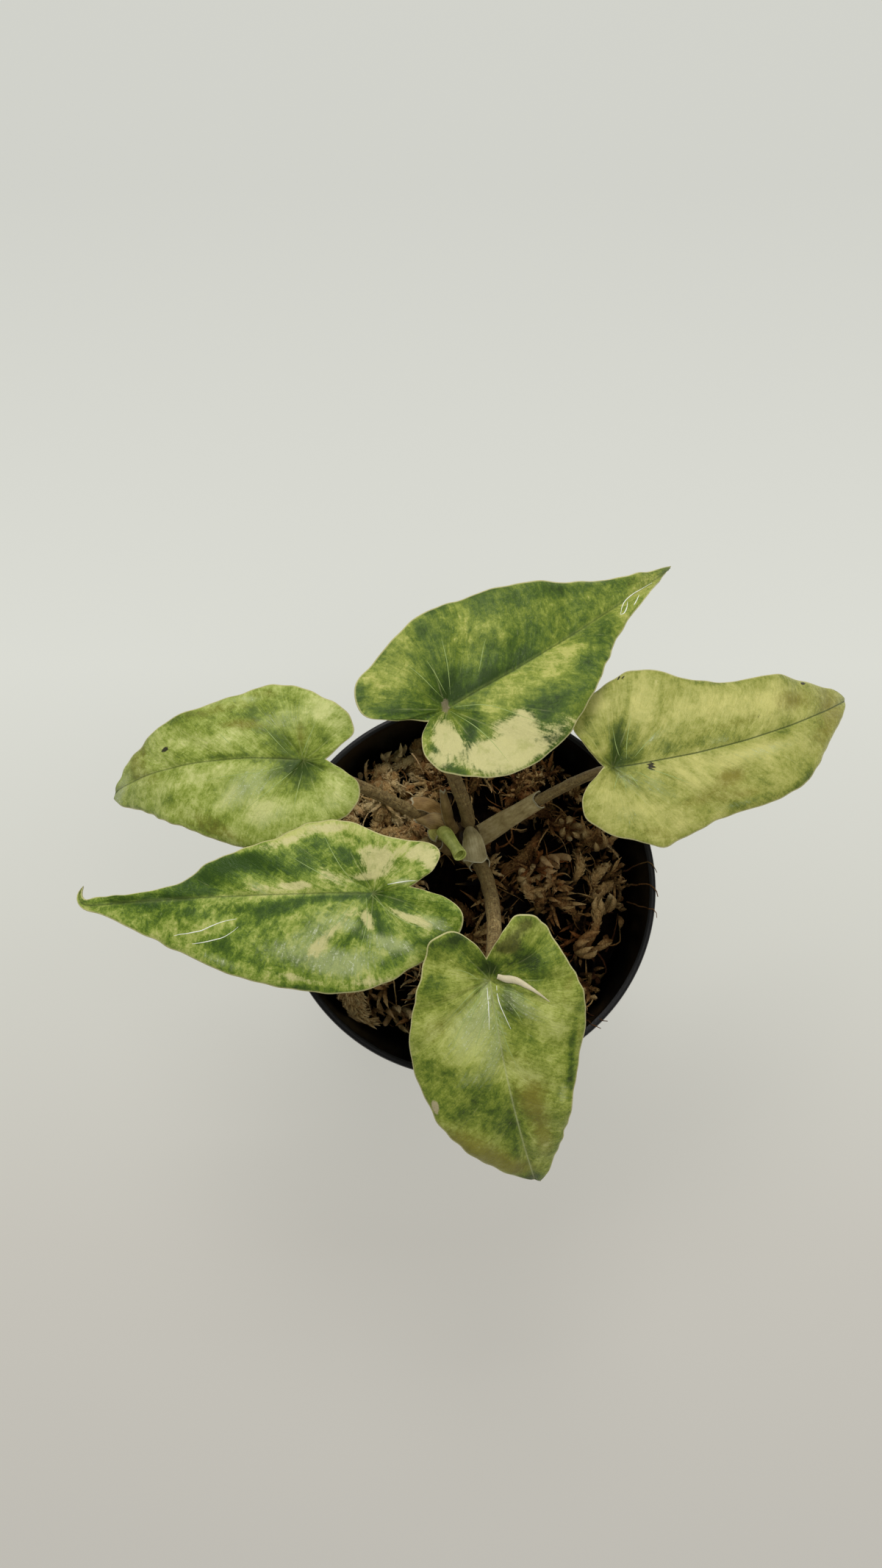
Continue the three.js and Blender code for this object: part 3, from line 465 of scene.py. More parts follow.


# Patches read off the photo: (x, y, half width, half height, angle, strength) in pixels and degrees.
# A seventh value keeps a patch on the blade's left half (1) or on its right half (-1).
PHOTO_MARKS = {
    "back": {
        # The first dark patch here, kept on the left half, is partly the leaf's own colour and partly
        # painted shade of the fold along its midrib.
        "dark": [
            (615, 938, 26, 22, 0, 0.4, 1), (640, 962, 26, 6, 18, 0.35), (580, 868, 20, 26, -20, 0.3),
            (590, 905, 30, 28, 0, 0.2), (700, 812, 55, 12, 8, 0.25), (775, 800, 60, 9, 4, 0.2),
            (648, 808, 20, 8, 20, 0.25), (641, 1000, 9, 30, -12, 0.75), (656, 978, 18, 9, -35, 0.45),
            (745, 1008, 28, 9, 32, 0.5), (535, 968, 45, 8, -6, 0.35), (590, 1018, 8, 5, -40, 0.6),
            (575, 985, 6, 16, 60, 0.3), (820, 860, 30, 14, 55, 0.2), (800, 900, 18, 12, 50, 0.25),
            (720, 860, 40, 22, 30, 0.15), (615, 1045, 16, 4, -30, 0.45),
        ],
        "pale": [
            (545, 912, 42, 22, 45, 0.35), (632, 852, 26, 18, -30, 0.3), (545, 868, 8, 45, -38, 0.35),
            (850, 845, 12, 30, -35, 0.25), (505, 925, 20, 18, 0, 0.25), (610, 830, 35, 8, 25, 0.2),
        ],
        "cream": [
            (605, 1003, 15, 24, 10, 1), (598, 1035, 20, 8, -35, 0.6), (660, 1035, 30, 18, 0, 0.7),
            (712, 975, 15, 12, 0, 0.7), (682, 988, 20, 10, 0, 0.45),
        ],
        "gold": [
            (870, 790, 30, 8, 30, 0.25),
        ],
        "stalk": [
            (605.5, 963, 7, 12, 0, 1),
        ],
    },
    "right": {
        "dark": [
            (840, 1015, 12, 34, 0, 0.85), (862, 1008, 7, 38, -10, 0.28), (885, 992, 7, 45, -25, 0.25),
            (852, 962, 5, 42, -12, 0.32), (925, 1016, 55, 7, 14, 0.25), (980, 925, 70, 6, 0, 0.25),
            (1085, 1066, 38, 7, 38, 0.45), (872, 1066, 38, 9, -14, 0.25), (1020, 1090, 30, 6, 18, 0.3),
            (905, 1010, 40, 18, 15, 0.1), (800, 985, 8, 25, 20, 0.2), (1050, 1000, 40, 8, 20, 0.2),
            (900, 1125, 50, 18, -10, 0.15),
        ],
        "pale": [
            (868, 960, 26, 40, -15, 0.3), (960, 962, 60, 20, 8, 0.3), (1046, 955, 32, 16, 15, 0.5),
            (1010, 1028, 64, 12, 14, 0.4), (865, 1100, 42, 20, -15, 0.35), (932, 1055, 34, 5, -38, 0.5),
            (955, 1052, 20, 4, -42, 0.4), (922, 1122, 15, 12, 0, 0.4), (815, 960, 20, 25, 20, 0.25),
        ],
        "gold": [
            (1078, 953, 26, 15, 10, 0.7), (994, 1056, 22, 12, 10, 0.85), (1130, 962, 16, 26, 0, 0.7),
            (1120, 1000, 16, 30, -25, 0.5), (1010, 1080, 34, 8, 14, 0.5), (895, 1134, 34, 12, -10, 0.4),
            (955, 1086, 44, 12, 25, 0.45), (1000, 985, 50, 8, 14, 0.3),
        ],
        "painted_sheen": [
            (850, 1060, 24, 8, -45, 0.6), (895, 1072, 30, 12, -30, 0.45), (1040, 1022, 55, 10, 14, 0.4),
            (890, 1004, 22, 5, 35, 0.5), (975, 1008, 20, 6, 10, 0.4), (1000, 1095, 30, 5, 15, 0.4),
            (855, 1110, 25, 14, 0, 0.3),
        ],
        "speck": [
            (886, 1043, 4, 7, 0, 1.6), (842, 923, 2.6, 2.2, 0, 1.6), (849, 923, 2.2, 1.6, 0, 1.5),
            (1092, 930, 3.2, 2.4, 20, 1.4), (1031, 975, 1.8, 1.8, 0, 1.2),
        ],
    },
    "left": {
        "dark": [
            (388, 1022, 22, 8, -25, 0.35), (360, 1033, 52, 5, -3, 0.35), (405, 1072, 24, 12, 20, 0.35),
            (300, 1118, 32, 10, 20, 0.3), (250, 978, 32, 6, 15, 0.3), (350, 968, 50, 8, 8, 0.25),
            (310, 1028, 44, 3, 4, 0.3), (285, 1000, 12, 5, 0, 0.3), (370, 1055, 30, 6, 30, 0.3),
            (440, 1005, 20, 6, -20, 0.25), (240, 1085, 25, 8, 20, 0.2),
        ],
        "pale": [
            (360, 1102, 42, 16, 20, 0.5), (440, 968, 30, 20, -25, 0.35), (450, 1068, 22, 26, 0, 0.35),
            (262, 1058, 60, 14, 18, 0.35), (308, 1085, 30, 8, 50, 0.35), (270, 1008, 60, 9, 10, 0.3),
            (400, 1130, 30, 10, 20, 0.3),
        ],
        "gold": [
            (330, 986, 36, 8, 0, 0.7), (410, 998, 10, 20, 0, 0.5), (362, 944, 20, 6, 0, 0.4),
            (205, 1058, 20, 16, 0, 0.35), (300, 1135, 40, 8, -20, 0.35),
        ],
        "painted_sheen": [
            (340, 951, 12, 5, 0, 0.6), (166, 1078, 5, 24, -18, 0.9), (372, 1110, 42, 14, 20, 0.4),
            (452, 1092, 26, 14, 20, 0.35), (300, 955, 40, 6, 14, 0.35),
        ],
        "speck": [
            (226, 1020, 5, 2.8, 35, 1.6),
        ],
    },
    "near_left": {
        "dark": [
            (285, 1192, 50, 14, 22, 0.7), (335, 1172, 48, 12, 5, 0.6), (250, 1218, 55, 10, 8, 0.5),
            (372, 1182, 34, 9, -15, 0.5), (413, 1176, 14, 13, 0, 0.8), (466, 1166, 20, 15, 0, 0.55),
            (432, 1142, 20, 9, 0, 0.5), (460, 1220, 80, 5, 4, 0.6), (375, 1234, 70, 8, 6, 0.5),
            (350, 1250, 50, 8, 20, 0.35), (548, 1226, 42, 7, -12, 0.5), (480, 1272, 36, 10, 45, 0.5),
            (522, 1262, 28, 11, -60, 0.45), (325, 1275, 40, 10, 15, 0.25), (400, 1305, 20, 9, 0, 0.45),
            (420, 1346, 50, 5, -4, 0.6), (335, 1302, 45, 8, -25, 0.4), (558, 1292, 40, 9, 25, 0.45),
            (602, 1240, 12, 20, 0, 0.35), (520, 1310, 16, 8, 0, 0.4), (545, 1170, 25, 6, 0, 0.3),
            (485, 1140, 30, 4, -20, 0.3), (240, 1240, 60, 8, -10, 0.3),
        ],
        "cream": [
            (515, 1168, 26, 17, 0, 1), (572, 1160, 22, 14, 0, 0.8), (500, 1192, 26, 6, 10, 0.7),
            (398, 1205, 26, 6, 5, 0.9), (448, 1190, 22, 9, -40, 0.6), (500, 1252, 10, 17, 25, 0.9),
            (562, 1250, 32, 6, -22, 1), (432, 1288, 26, 12, 48, 0.6), (400, 1330, 44, 6, -15, 0.5),
            (505, 1334, 42, 6, 6, 0.5), (385, 1146, 60, 7, 18, 0.6), (450, 1126, 40, 6, 0, 0.5),
            (350, 1210, 14, 5, 5, 0.5), (590, 1175, 12, 16, 20, 0.6), (455, 1262, 30, 6, 45, 0.4),
        ],
        "pale": [
            (300, 1262, 50, 10, 20, 0.3), (280, 1230, 40, 5, 4, 0.2),
        ],
        "painted_sheen": [
            (452, 1310, 42, 17, -10, 1), (530, 1282, 36, 9, -18, 0.9), (300, 1306, 26, 6, -20, 0.6),
            (592, 1256, 24, 9, -20, 0.8), (352, 1208, 22, 7, -30, 0.5), (430, 1124, 30, 4, 0, 0.5),
            (475, 1258, 14, 9, 0, 0.6), (548, 1199, 14, 4, 0, 1),
        ],
    },
    "front": {
        "dark": [
            (665, 1315, 18, 13, 0, 0.85), (612, 1282, 30, 12, 10, 0.5), (590, 1345, 14, 20, 0, 0.35),
            (692, 1362, 13, 26, 15, 0.55), (655, 1490, 26, 18, 20, 0.25), (690, 1520, 24, 24, 0, 0.3),
            (702, 1562, 9, 30, 0, 0.3), (612, 1460, 30, 16, -30, 0.3), (630, 1512, 22, 14, 0, 0.3),
            (582, 1452, 12, 24, -20, 0.3), (778, 1430, 5, 52, -6, 0.6), (722, 1600, 16, 6, 0, 0.5),
            (640, 1300, 16, 14, 0, 0.35), (750, 1360, 10, 26, 20, 0.2),
        ],
        "pale": [
            (618, 1402, 46, 24, 45, 0.4), (640, 1425, 40, 20, 55, 0.4), (700, 1452, 18, 24, 0, 0.4),
            (752, 1382, 16, 34, 25, 0.5), (720, 1465, 22, 16, 0, 0.35), (625, 1325, 30, 6, -12, 0.4),
            (660, 1545, 30, 12, -20, 0.2), (585, 1400, 10, 30, 0, 0.3),
        ],
        "gold": [
            (640, 1560, 50, 20, -28, 0.9), (690, 1585, 44, 12, -12, 0.85), (722, 1490, 24, 28, 0, 0.75),
            (738, 1540, 16, 34, 12, 0.7), (598, 1400, 26, 20, 0, 0.4), (775, 1335, 8, 34, -20, 0.5),
            (788, 1400, 6, 26, 0, 0.4), (700, 1440, 24, 12, 0, 0.3),
        ],
        "painted_sheen": [
            (672, 1432, 14, 42, -10, 0.6), (712, 1368, 34, 13, -42, 0.65), (660, 1358, 6, 26, 0, 0.9),
            (640, 1465, 22, 12, 20, 0.4), (765, 1485, 7, 18, 0, 0.45),
        ],
        "brown": [
            (718, 1256, 10, 8, 0, 0.7), (665, 1300, 10, 8, 0, 0.3),
        ],
        "scar": [
            (593, 1503, 5, 9, 15, 1.4),
        ],
    },
}
# Patches set on the blades, or moved there from a noted place: (u, v, long, wide, angle,
# strength) in millimetres and degrees, with the same seventh value.
BLADE_MARKS = {
    "back": {
        # The dark patch along the left of this midrib and the pale ones kept on its right are partly the
        # leaf's own colour and partly painted shade and painted light of the fold along the midrib.
        "dark": [
            (12, 0.4, 12, 3.4, -2, 0.62, 1), (18.5, -10.6, 5.4, 3, -1, 0.55),
        ],
        "pale": [
            (17.8, -3.2, 9.5, 4.4, -2, 0.55, -1), (29, -2.6, 5, 3, -2, 0.42, -1),
            (5, -5, 5, 4, 0, 0.45, -1), (58, -0.4, 10, 2.8, -2, 0.5),
        ],
        "cream": [
            (5.5, -14.4, 6.2, 3.6, -7, 0.85), (11, -13, 5, 3.6, 0, 0.45), (12, -17.6, 9, 1.6, 4, 0.6),
            (19, -15, 4, 1.6, 12, 0.25), (-2.5, -9, 3.5, 4, 60, 0.35),
        ],
    },
    "right": {
        "dark": [
            (2.4, 1.2, 6, 1.6, 4, 0.3),
        ],
    },
    "left": {
        "dark": [
            (-0.2, 2.4, 5, 2.4, 3, 0.85), (5.5, -5, 5, 1.8, -30, 0.4),
        ],
        "gold": [
            (41, -4.9, 5, 3.4, 49, 0.55), (20, -11.6, 10, 1.8, 8, 0.45), (22, 13.6, 9, 2, -22, 0.4),
        ],
        "painted_sheen": [
            (12, 6.4, 7.4, 3.6, 24, 0.75), (4.9, -8.6, 6.6, 3, 14, 0.5),
        ],
    },
    "near_left": {
        "dark": [
            (58, -0.4, 13, 2.2, -4, 0.4),
        ],
        "pale": [
            (19, -13.6, 9, 2.6, 14, 0.5), (5, -13.6, 7, 2.4, -4, 0.35), (-6, -8.2, 6, 2.8, 0, 0.4),
            (20.4, -1.2, 6, 1.6, 4, 0.4),
        ],
        "painted_sheen": [
            (12, 8, 9, 3, 30, 0.6), (2, 14, 8, 2.4, 10, 0.5), (21, 12, 6, 2.5, -10, 0.35),
        ],
    },
    "front": {
        "dark": [
            (-3.8, 9, 5.4, 3.2, 50, 0.4), (-4.6, 7.4, 5.4, 3.4, 52, 0.15),
        ],
        "painted_sheen": [
            (8.3, -4.9, 7.5, 4.4, -40, 0.75),
        ],
        "brown": [
            (-10, 6.4, 4.2, 2.4, -51, 1), (-7.6, 4.3, 2.6, 1.5, 83, 1.3),
        ],
    },
}
# green is how dark a blade is where nothing marks it (0 the palest tone, 1 the darkest), streaks how
# strongly it is streaked along its veins, blotches how uneven it is, rib how dark the line on its midrib
# is, painted shade of the midrib's groove (below 0: how pale that line is, in the midrib's own colour).
BLADE_LOOKS = {
    "back": dict(
        seed=1.0, green=0.55, streaks=0.9, blotches=1.2, rib=0.4,
        tones=[(184, 184, 98), (140, 152, 58), (106, 124, 36), (72, 96, 22), (44, 66, 10)],
    ),
    "right": dict(
        seed=7.0, green=0.42, streaks=0.5, blotches=0.8, rib=0.8,
        tones=[(196, 192, 112), (172, 172, 92), (146, 150, 66), (102, 114, 34), (54, 72, 12)],
    ),
    "left": dict(
        seed=13.0, green=0.44, streaks=0.35, blotches=1.0, rib=0.5,
        tones=[(204, 208, 132), (170, 181, 94), (134, 150, 54), (92, 112, 28), (54, 76, 14)],
    ),
    "near_left": dict(
        seed=21.0, green=0.42, streaks=0.8, blotches=1.6, rib=0.5,
        tones=[(190, 192, 112), (156, 168, 78), (114, 136, 40), (74, 100, 18), (47, 74, 8)],
    ),
    "front": dict(
        seed=34.0, green=0.46, streaks=0.5, blotches=1.1, rib=-0.4,
        tones=[(186, 192, 108), (160, 169, 78), (126, 139, 46), (84, 105, 20), (44, 62, 6)],
    ),
}
CREAM, STAIN = (203, 197, 136), (164, 168, 92)
GOLD = (122, 112, 34)
# The sheen tones are painted highlight: pale colour and fine bright grains in place of the lamps'
# reflections on the glossy blades.
PAINTED_SHEEN, PAINTED_SHEEN_GRAIN = (172, 182, 126), (214, 220, 186)
VEIN, MARGIN = (186, 190, 126), (206, 200, 142)
# The dark rib tone is painted shade in the midrib's groove; the pale one is the midrib's own colour.
RIB_GROOVE_SHADE, PALE_RIB, RIB_SIDES = (56, 70, 20), (196, 200, 150), (178, 184, 112)
BROWN, DRY, SCAR, SPECK = (60, 52, 12), (146, 134, 104), (172, 160, 124), (26, 18, 8)


def in_photo(points):
    """Where the photo's camera sees points, in pixels."""
    away = points - CAMERA_PLACE
    ahead = away[..., 1] * math.sin(CAMERA_TILT) - away[..., 2] * math.cos(CAMERA_TILT)
    up = away[..., 1] * math.cos(CAMERA_TILT) + away[..., 2] * math.sin(CAMERA_TILT)
    across, down = FOCAL_LENGTH * away[..., 0] / ahead, -FOCAL_LENGTH * up / ahead
    return np.stack([PHOTO_WIDTH / 2 + across, PHOTO_HEIGHT / 2 + down], -1)


# The search for a photo pixel on a blade starts from a grid: its back end, half width and steps.
SEARCH_BACK, SEARCH_SIDE, SEARCH_STEPS = -22, 24, (120, 60)


def on_blade(blade, pixels, rounds=5, e=0.05):
    """The (u, v) of a blade at pixels of the photo: the nearest place of the grid, then Newton steps."""
    pixels = np.array(pixels, float)
    along = np.linspace(SEARCH_BACK, blade.leaf["tip"][0], SEARCH_STEPS[0])
    u, v = np.meshgrid(along, np.linspace(-SEARCH_SIDE, SEARCH_SIDE, SEARCH_STEPS[1]))
    u, v = u.ravel(), v.ravel()
    nearest = np.linalg.norm(in_photo(blade.at(u, v)) - pixels[:, None], axis=-1).argmin(1)
    u, v = u[nearest], v[nearest]
    for _ in range(rounds):
        x, y = (pixels - in_photo(blade.at(u, v))).T
        a, b = ((in_photo(blade.at(u + e, v)) - in_photo(blade.at(u - e, v))) / (2 * e)).T
        c, d = ((in_photo(blade.at(u, v + e)) - in_photo(blade.at(u, v - e))) / (2 * e)).T
        area = a * d - b * c
        u, v = u + (x * d - y * c) / area, v + (a * y - b * x) / area
    return np.stack([u, v], -1)


def noted_patch(blade, x, y, wide, high, angle, *strength):
    """A patch of PHOTO_MARKS in the form of BLADE_MARKS, from its centre and the ends of its axes."""
    a = math.radians(angle)
    first = np.array([math.cos(a), -math.sin(a)]) * wide
    second = np.array([math.sin(a), math.cos(a)]) * high
    centre = np.array([x, y])
    places = on_blade(blade, [centre, centre + first, centre - first, centre + second, centre - second])
    axes = [(places[1] - places[2]) / 2, (places[3] - places[4]) / 2]
    short, long = sorted(axes, key=np.linalg.norm)
    turn = math.degrees(math.atan2(long[1], long[0]))
    return (*places[0], np.linalg.norm(long), np.linalg.norm(short), turn, *strength)


def blade_patches(name, blade):
    """All patches of a blade by kind, in the form of BLADE_MARKS."""
    patches = {kind: list(BLADE_MARKS[name].get(kind, [])) for kind in MARKS}
    for kind, rows in PHOTO_MARKS[name].items():
        patches[kind] += [noted_patch(blade, *row) for row in rows]
    return patches


def blade_material(name, seed, green, streaks, blotches, rib, tones):
    sh = Shader("leaf_" + name)
    u, v, k, r = (sh.field(key) for key in ("u", "v", "k", "r"))
    side, edge, near = (sh.field(key) for key in ("side", "edge", "near"))
    flat = sh.vector(u, v, seed)

    def swing(value, size):
        return sh.times(sh.math("SUBTRACT", value, 0.5), size)

    # Streaks follow the veins: fine across them and long along them.
    bent = sh.add(k, sh.times(r, sh.math("SUBTRACT", sh.times(r, 0.035), 0.035)))
    fan = sh.vector(sh.times(bent, 34.0), sh.times(r, 2.6), sh.add(sh.times(side, 3.0), seed))
    streak = sh.noise(fan, 1.0, 6.0, 0.66, 0.6)
    fine_fan = sh.vector(sh.times(bent, 150.0), sh.times(r, 6.0), sh.add(sh.times(side, 5.0), seed))
    fine_streak = sh.noise(fine_fan, 1.0, 3.0, 0.6)
    cloud = sh.noise(flat, 0.16, 4.0, 0.6, 0.5)
    mottle = sh.noise(flat, 0.55, 7.0, 0.74, 0.4)
    speckle = sh.noise(flat, 2.3, 4.0, 0.7)
    level = sh.add(
        green,
        swing(streak, streaks),
        swing(cloud, 0.8),
        swing(mottle, blotches),
        swing(speckle, 0.5),
        swing(fine_streak, 0.4),
        sh.times(sh.field("dark"), 0.8),
        sh.times(sh.field("pale"), -0.75),
    )
    stops = [(place, linear(*tone)) for place, tone in zip([0.04, 0.3, 0.5, 0.72, 1.0], tones)]
    colour = sh.ramp(level, stops)
    gold = sh.add(sh.field("gold"), swing(mottle, 1.2))
    colour = sh.mix(sh.times(sh.step(gold, 0.1, 0.9), 0.75), colour, linear(*GOLD))
    # Painted highlight: sheen patches are mixed into the colour as pale grey-green.
    painted_sheen = sh.add(sh.field("painted_sheen"), swing(fine_streak, 1.0), swing(speckle, 0.5))
    colour = sh.mix(sh.times(sh.step(painted_sheen, 0.1, 0.9), 0.62), colour, linear(*PAINTED_SHEEN))
    cream = sh.add(
        sh.field("cream"), swing(streak, -1.1), swing(mottle, -1.0), swing(speckle, -0.4),
        swing(fine_streak, -0.6),
        sh.times(sh.field("dark"), -0.5),
    )
    colour = sh.mix(sh.times(sh.step(cream, 0.2, 0.66), 0.92), colour, linear(*CREAM))
    stain = sh.times(sh.step(cream, 0.2, 0.66), sh.step(sh.add(cloud, swing(mottle, 0.8)), 0.5, 0.72))
    colour = sh.mix(sh.times(stain, 0.5), colour, linear(*STAIN))
    # Painted highlight: fine bright specks inside the sheen patches.
    fine_spots = sh.step(sh.add(speckle, swing(fine_streak, 0.7)), 0.56, 0.7)
    painted_sparkle = sh.times(sh.step(painted_sheen, 0.25, 1.0), fine_spots)
    colour = sh.mix(sh.times(painted_sparkle, 0.6), colour, linear(*PAINTED_SHEEN_GRAIN))
    grainy = sh.math("MULTIPLY_ADD", speckle, 0.3, 0.85)
    colour = sh.mix(1.0, colour, sh.vector(grainy, grainy, grainy), "MULTIPLY")
    # Side veins are fine and pale and fade in and out; the midrib has a paler line along it.
    vein = sh.times(sh.step(near, 0.24, 0.04), sh.step(r, 0.95, 0.5))
    vein = sh.times(vein, sh.step(cloud, 0.42, 0.6))
    colour = sh.mix(sh.times(vein, 0.26), colour, linear(*VEIN))
    away = sh.math("ABSOLUTE", v)
    pale_rib = sh.times(sh.step(away, 0.8, 0.3), sh.step(u, 0.0, 4.0))
    colour = sh.mix(sh.times(pale_rib, 0.1), colour, linear(*RIB_SIDES))
    line = sh.times(sh.step(away, 0.27, 0.06), sh.step(u, -1.0, 1.5))
    # Above 0, rib paints shade along the midrib's groove; below 0, it gives the midrib its own pale line.
    rib_tone = RIB_GROOVE_SHADE if rib > 0 else PALE_RIB
    colour = sh.mix(sh.times(line, abs(rib)), colour, linear(*rib_tone))
    colour = sh.mix(sh.times(sh.step(edge, 0.4, 0.1), 0.85), colour, linear(*MARGIN))
    for key, tone, low, high, most in (
        ("brown", BROWN, 0.3, 1.2, 0.7),
        ("stalk", DRY, 0.4, 0.75, 0.8),
        ("scar", SCAR, 0.4, 0.8, 0.9),
        ("speck", SPECK, 0.4, 0.8, 0.95),
    ):
        rough_edge = sh.add(sh.field(key), swing(mottle, 0.9), swing(speckle, 0.7))
        colour = sh.mix(sh.times(sh.step(rough_edge, low, high), most), colour, linear(*tone))
    height = sh.add(sh.times(mottle, 0.6), sh.times(fine_streak, 0.6), sh.times(speckle, 0.35))
    sh.bump(height, 0.32)
    roughness = sh.math("MULTIPLY_ADD", mottle, 0.3, 0.18)
    return sh.finish(colour, roughness, Specular_IOR_Level=0.25)


# Fine raised lines read off the photo, in pixels: pale veins, painted wet glints and one dry strip.
PHOTO_LINES = {
    "back": [
        ("glint", [(843, 838), (846, 826), (851, 817), (860, 809), (870, 803), (880, 797), (887, 793)]),
        ("glint", [(861, 826), (865, 819), (868, 812)]),
        ("glint", [(843, 838), (848, 836), (852, 828), (853, 820)]),
        ("vein", [(553, 906), (570, 920), (588, 937), (603, 950)]),
        ("vein", [(580, 900), (592, 918), (601, 935), (607, 945)]),
        ("vein", [(600, 870), (606, 895), (610, 920), (612, 945)]),
        ("vein", [(660, 870), (655, 895), (650, 915)]),
        ("vein", [(612, 968), (640, 985), (668, 1010), (690, 1038)]),
        ("vein", [(615, 962), (660, 960), (710, 975), (750, 990)]),
    ],
    "near_left": [
        ("glint", [(237, 1273), (246, 1271), (255, 1270), (265, 1268), (275, 1266), (288, 1260),
                     (300, 1255), (311, 1252), (322, 1250)]),
        ("glint", [(262, 1284), (276, 1282), (290, 1279), (305, 1275), (318, 1267), (325, 1261)]),
        ("glint", [(528, 1203), (545, 1200), (562, 1198), (575, 1200)]),
        ("vein", [(490, 1218), (470, 1240), (450, 1265), (440, 1285)]),
        ("vein", [(498, 1220), (500, 1250), (495, 1275), (488, 1300)]),
        ("vein", [(505, 1218), (530, 1240), (560, 1258), (590, 1262)]),
        ("vein", [(485, 1205), (465, 1180), (450, 1155), (440, 1135)]),
        ("vein", [(470, 1205), (430, 1185), (395, 1165)]),
    ],
    "right": [
        ("vein", [(842, 1052), (838, 1064), (835, 1077)]),
        ("vein", [(848, 1053), (850, 1066), (852, 1080)]),
        ("vein", [(855, 1052), (864, 1064), (872, 1076)]),
        ("vein", [(865, 1050), (885, 1060), (905, 1068)]),
        ("vein", [(880, 1046), (910, 1055), (938, 1066)]),
        ("vein", [(845, 1034), (838, 1015), (833, 990)]),
        ("vein", [(852, 1032), (853, 1005), (858, 975)]),
        ("vein", [(862, 1031), (880, 1010), (900, 990)]),
    ],
    "left": [
        ("vein", [(405, 1045), (380, 1065), (355, 1085), (330, 1105)]),
        ("vein", [(412, 1050), (405, 1075), (400, 1100)]),
        ("vein", [(300, 998), (310, 1008), (318, 1015)]),
        ("vein", [(360, 990), (376, 1008), (392, 1025)]),
        ("vein", [(410, 1030), (420, 1005), (432, 980)]),
        ("vein", [(398, 1042), (360, 1050), (320, 1055), (280, 1062)]),
    ],
    "front": [
        ("glint", [(662, 1342), (663, 1356), (664, 1370), (665, 1385), (665, 1400)]),
        ("glint", [(676, 1340), (677, 1351), (679, 1362), (683, 1373), (687, 1382), (691, 1391),
                     (695, 1399)]),
        ("vein", [(692, 1362), (699, 1371), (705, 1380), (711, 1392)]),
        ("vein", [(660, 1340), (650, 1360), (640, 1385), (630, 1410)]),
        ("vein", [(657, 1338), (640, 1352), (622, 1372), (606, 1395)]),
        ("vein", [(666, 1345), (660, 1375), (652, 1405), (645, 1435)]),
        ("vein", [(670, 1350), (680, 1390), (692, 1425), (706, 1455)]),
        ("vein", [(680, 1345), (700, 1350), (722, 1362), (742, 1380)]),
        ("vein", [(650, 1332), (635, 1322), (618, 1318)]),
        ("vein", [(672, 1360), (676, 1400), (676, 1430)]),
        ("vein", [(655, 1345), (643, 1370), (628, 1395), (615, 1425)]),
        ("strip", [(677, 1327), (690, 1331), (705, 1335), (722, 1343), (736, 1353), (747, 1362)]),
    ],
}
LINE_RADII = {
    "vein": (0.03, 0.09, 0.07, 0.02),
    "glint": (0.05, 0.13, 0.1, 0.04),
    "strip": (0.6, 0.95, 0.7, 0.45, 0.25, 0.08),
}


LINE_STEPS, RAY_STEPS = 30, 40
# Rays down on a blade start this far above it and are this long.
RAY_START, RAY_LENGTH = 5, 10


def line_materials():
    looks = {}
    # The glint lines are painted highlights: pale, glossy raised lines in place of reflections on wet
    # places.
    for kind, tone, roughness, level in (
        ("vein", (150, 168, 98), 0.4, 0.3),
        ("glint", (236, 238, 224), 0.2, 0.5),
        ("strip", (206, 196, 162), 0.6, 0.2),
    ):
        sh = Shader("leaf_" + kind)
        grain = sh.noise(sh.place(), 1.4, 4.0, 0.7)
        shade = sh.math("MULTIPLY_ADD", grain, 0.5, 0.75)
        colour = sh.mix(1.0, linear(*tone), sh.vector(shade, shade, shade), "MULTIPLY")
        looks[kind] = sh.finish(colour, roughness, Specular_IOR_Level=level)
    return looks


def build_lines(name, leaf, sheet, looks):
    """Lays the blade's lines on its upper face, found by a ray down on the sheet."""
    blade = Blade(leaf)
    tree = BVHTree.FromPolygons(
        [tuple(vertex.co) for vertex in sheet.data.vertices],
        [tuple(polygon.vertices) for polygon in sheet.data.polygons],
    )
    for kind in LINE_RADII:
        paths = []
        for line_kind, corners in PHOTO_LINES[name]:
            if line_kind != kind:
                continue
            kept = []
            for u, v in spline(on_blade(blade, corners), RAY_STEPS - 1):
                normal = blade.normal(np.array([u]), np.array([v]))[0]
                place = blade.at(np.array([u]), np.array([v]))[0]
                start = Vector((place + normal * RAY_START) * MM)
                hit = tree.ray_cast(start, Vector(-normal), RAY_LENGTH * MM)[0]
                if hit is None:
                    break
                kept.append((*(np.array(hit) / MM), *normal))
            if len(kept) > 5:
                paths.append(spline(kept, LINE_STEPS - 1))
        if not paths:
            continue
        paths = np.array(paths)
        on_sheet, normal = paths[..., :3], unit(paths[..., 3:])
        known = LINE_RADII[kind]
        radii = np.interp(np.linspace(0, 1, LINE_STEPS), np.linspace(0, 1, len(known)), known)
        steady = np.cumsum(np.random.default_rng(len(name)).normal(0, 0.02, (len(paths), LINE_STEPS)), 1)
        radii = radii[None, :] * (1 + steady)
        sink = 0.35 if kind == "strip" else -0.2
        points, faces = tubes(on_sheet + normal * (radii * sink)[..., None], radii, 8, 0.5, normal)
        piece = make_piece(f"{kind}_{name}", points, faces, looks[kind])
        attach(piece, "root")
        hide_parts("blade_" + name)


# Stalks, sheaths and the new leaf

CROWN = np.array([-0.5, 12.0])
ROOT_RADIUS = 3.5
STALK_STEPS, STALK_SIDES, STALK_END_GAP = 70, 24, 0.9
DOWN = -math.pi / 2
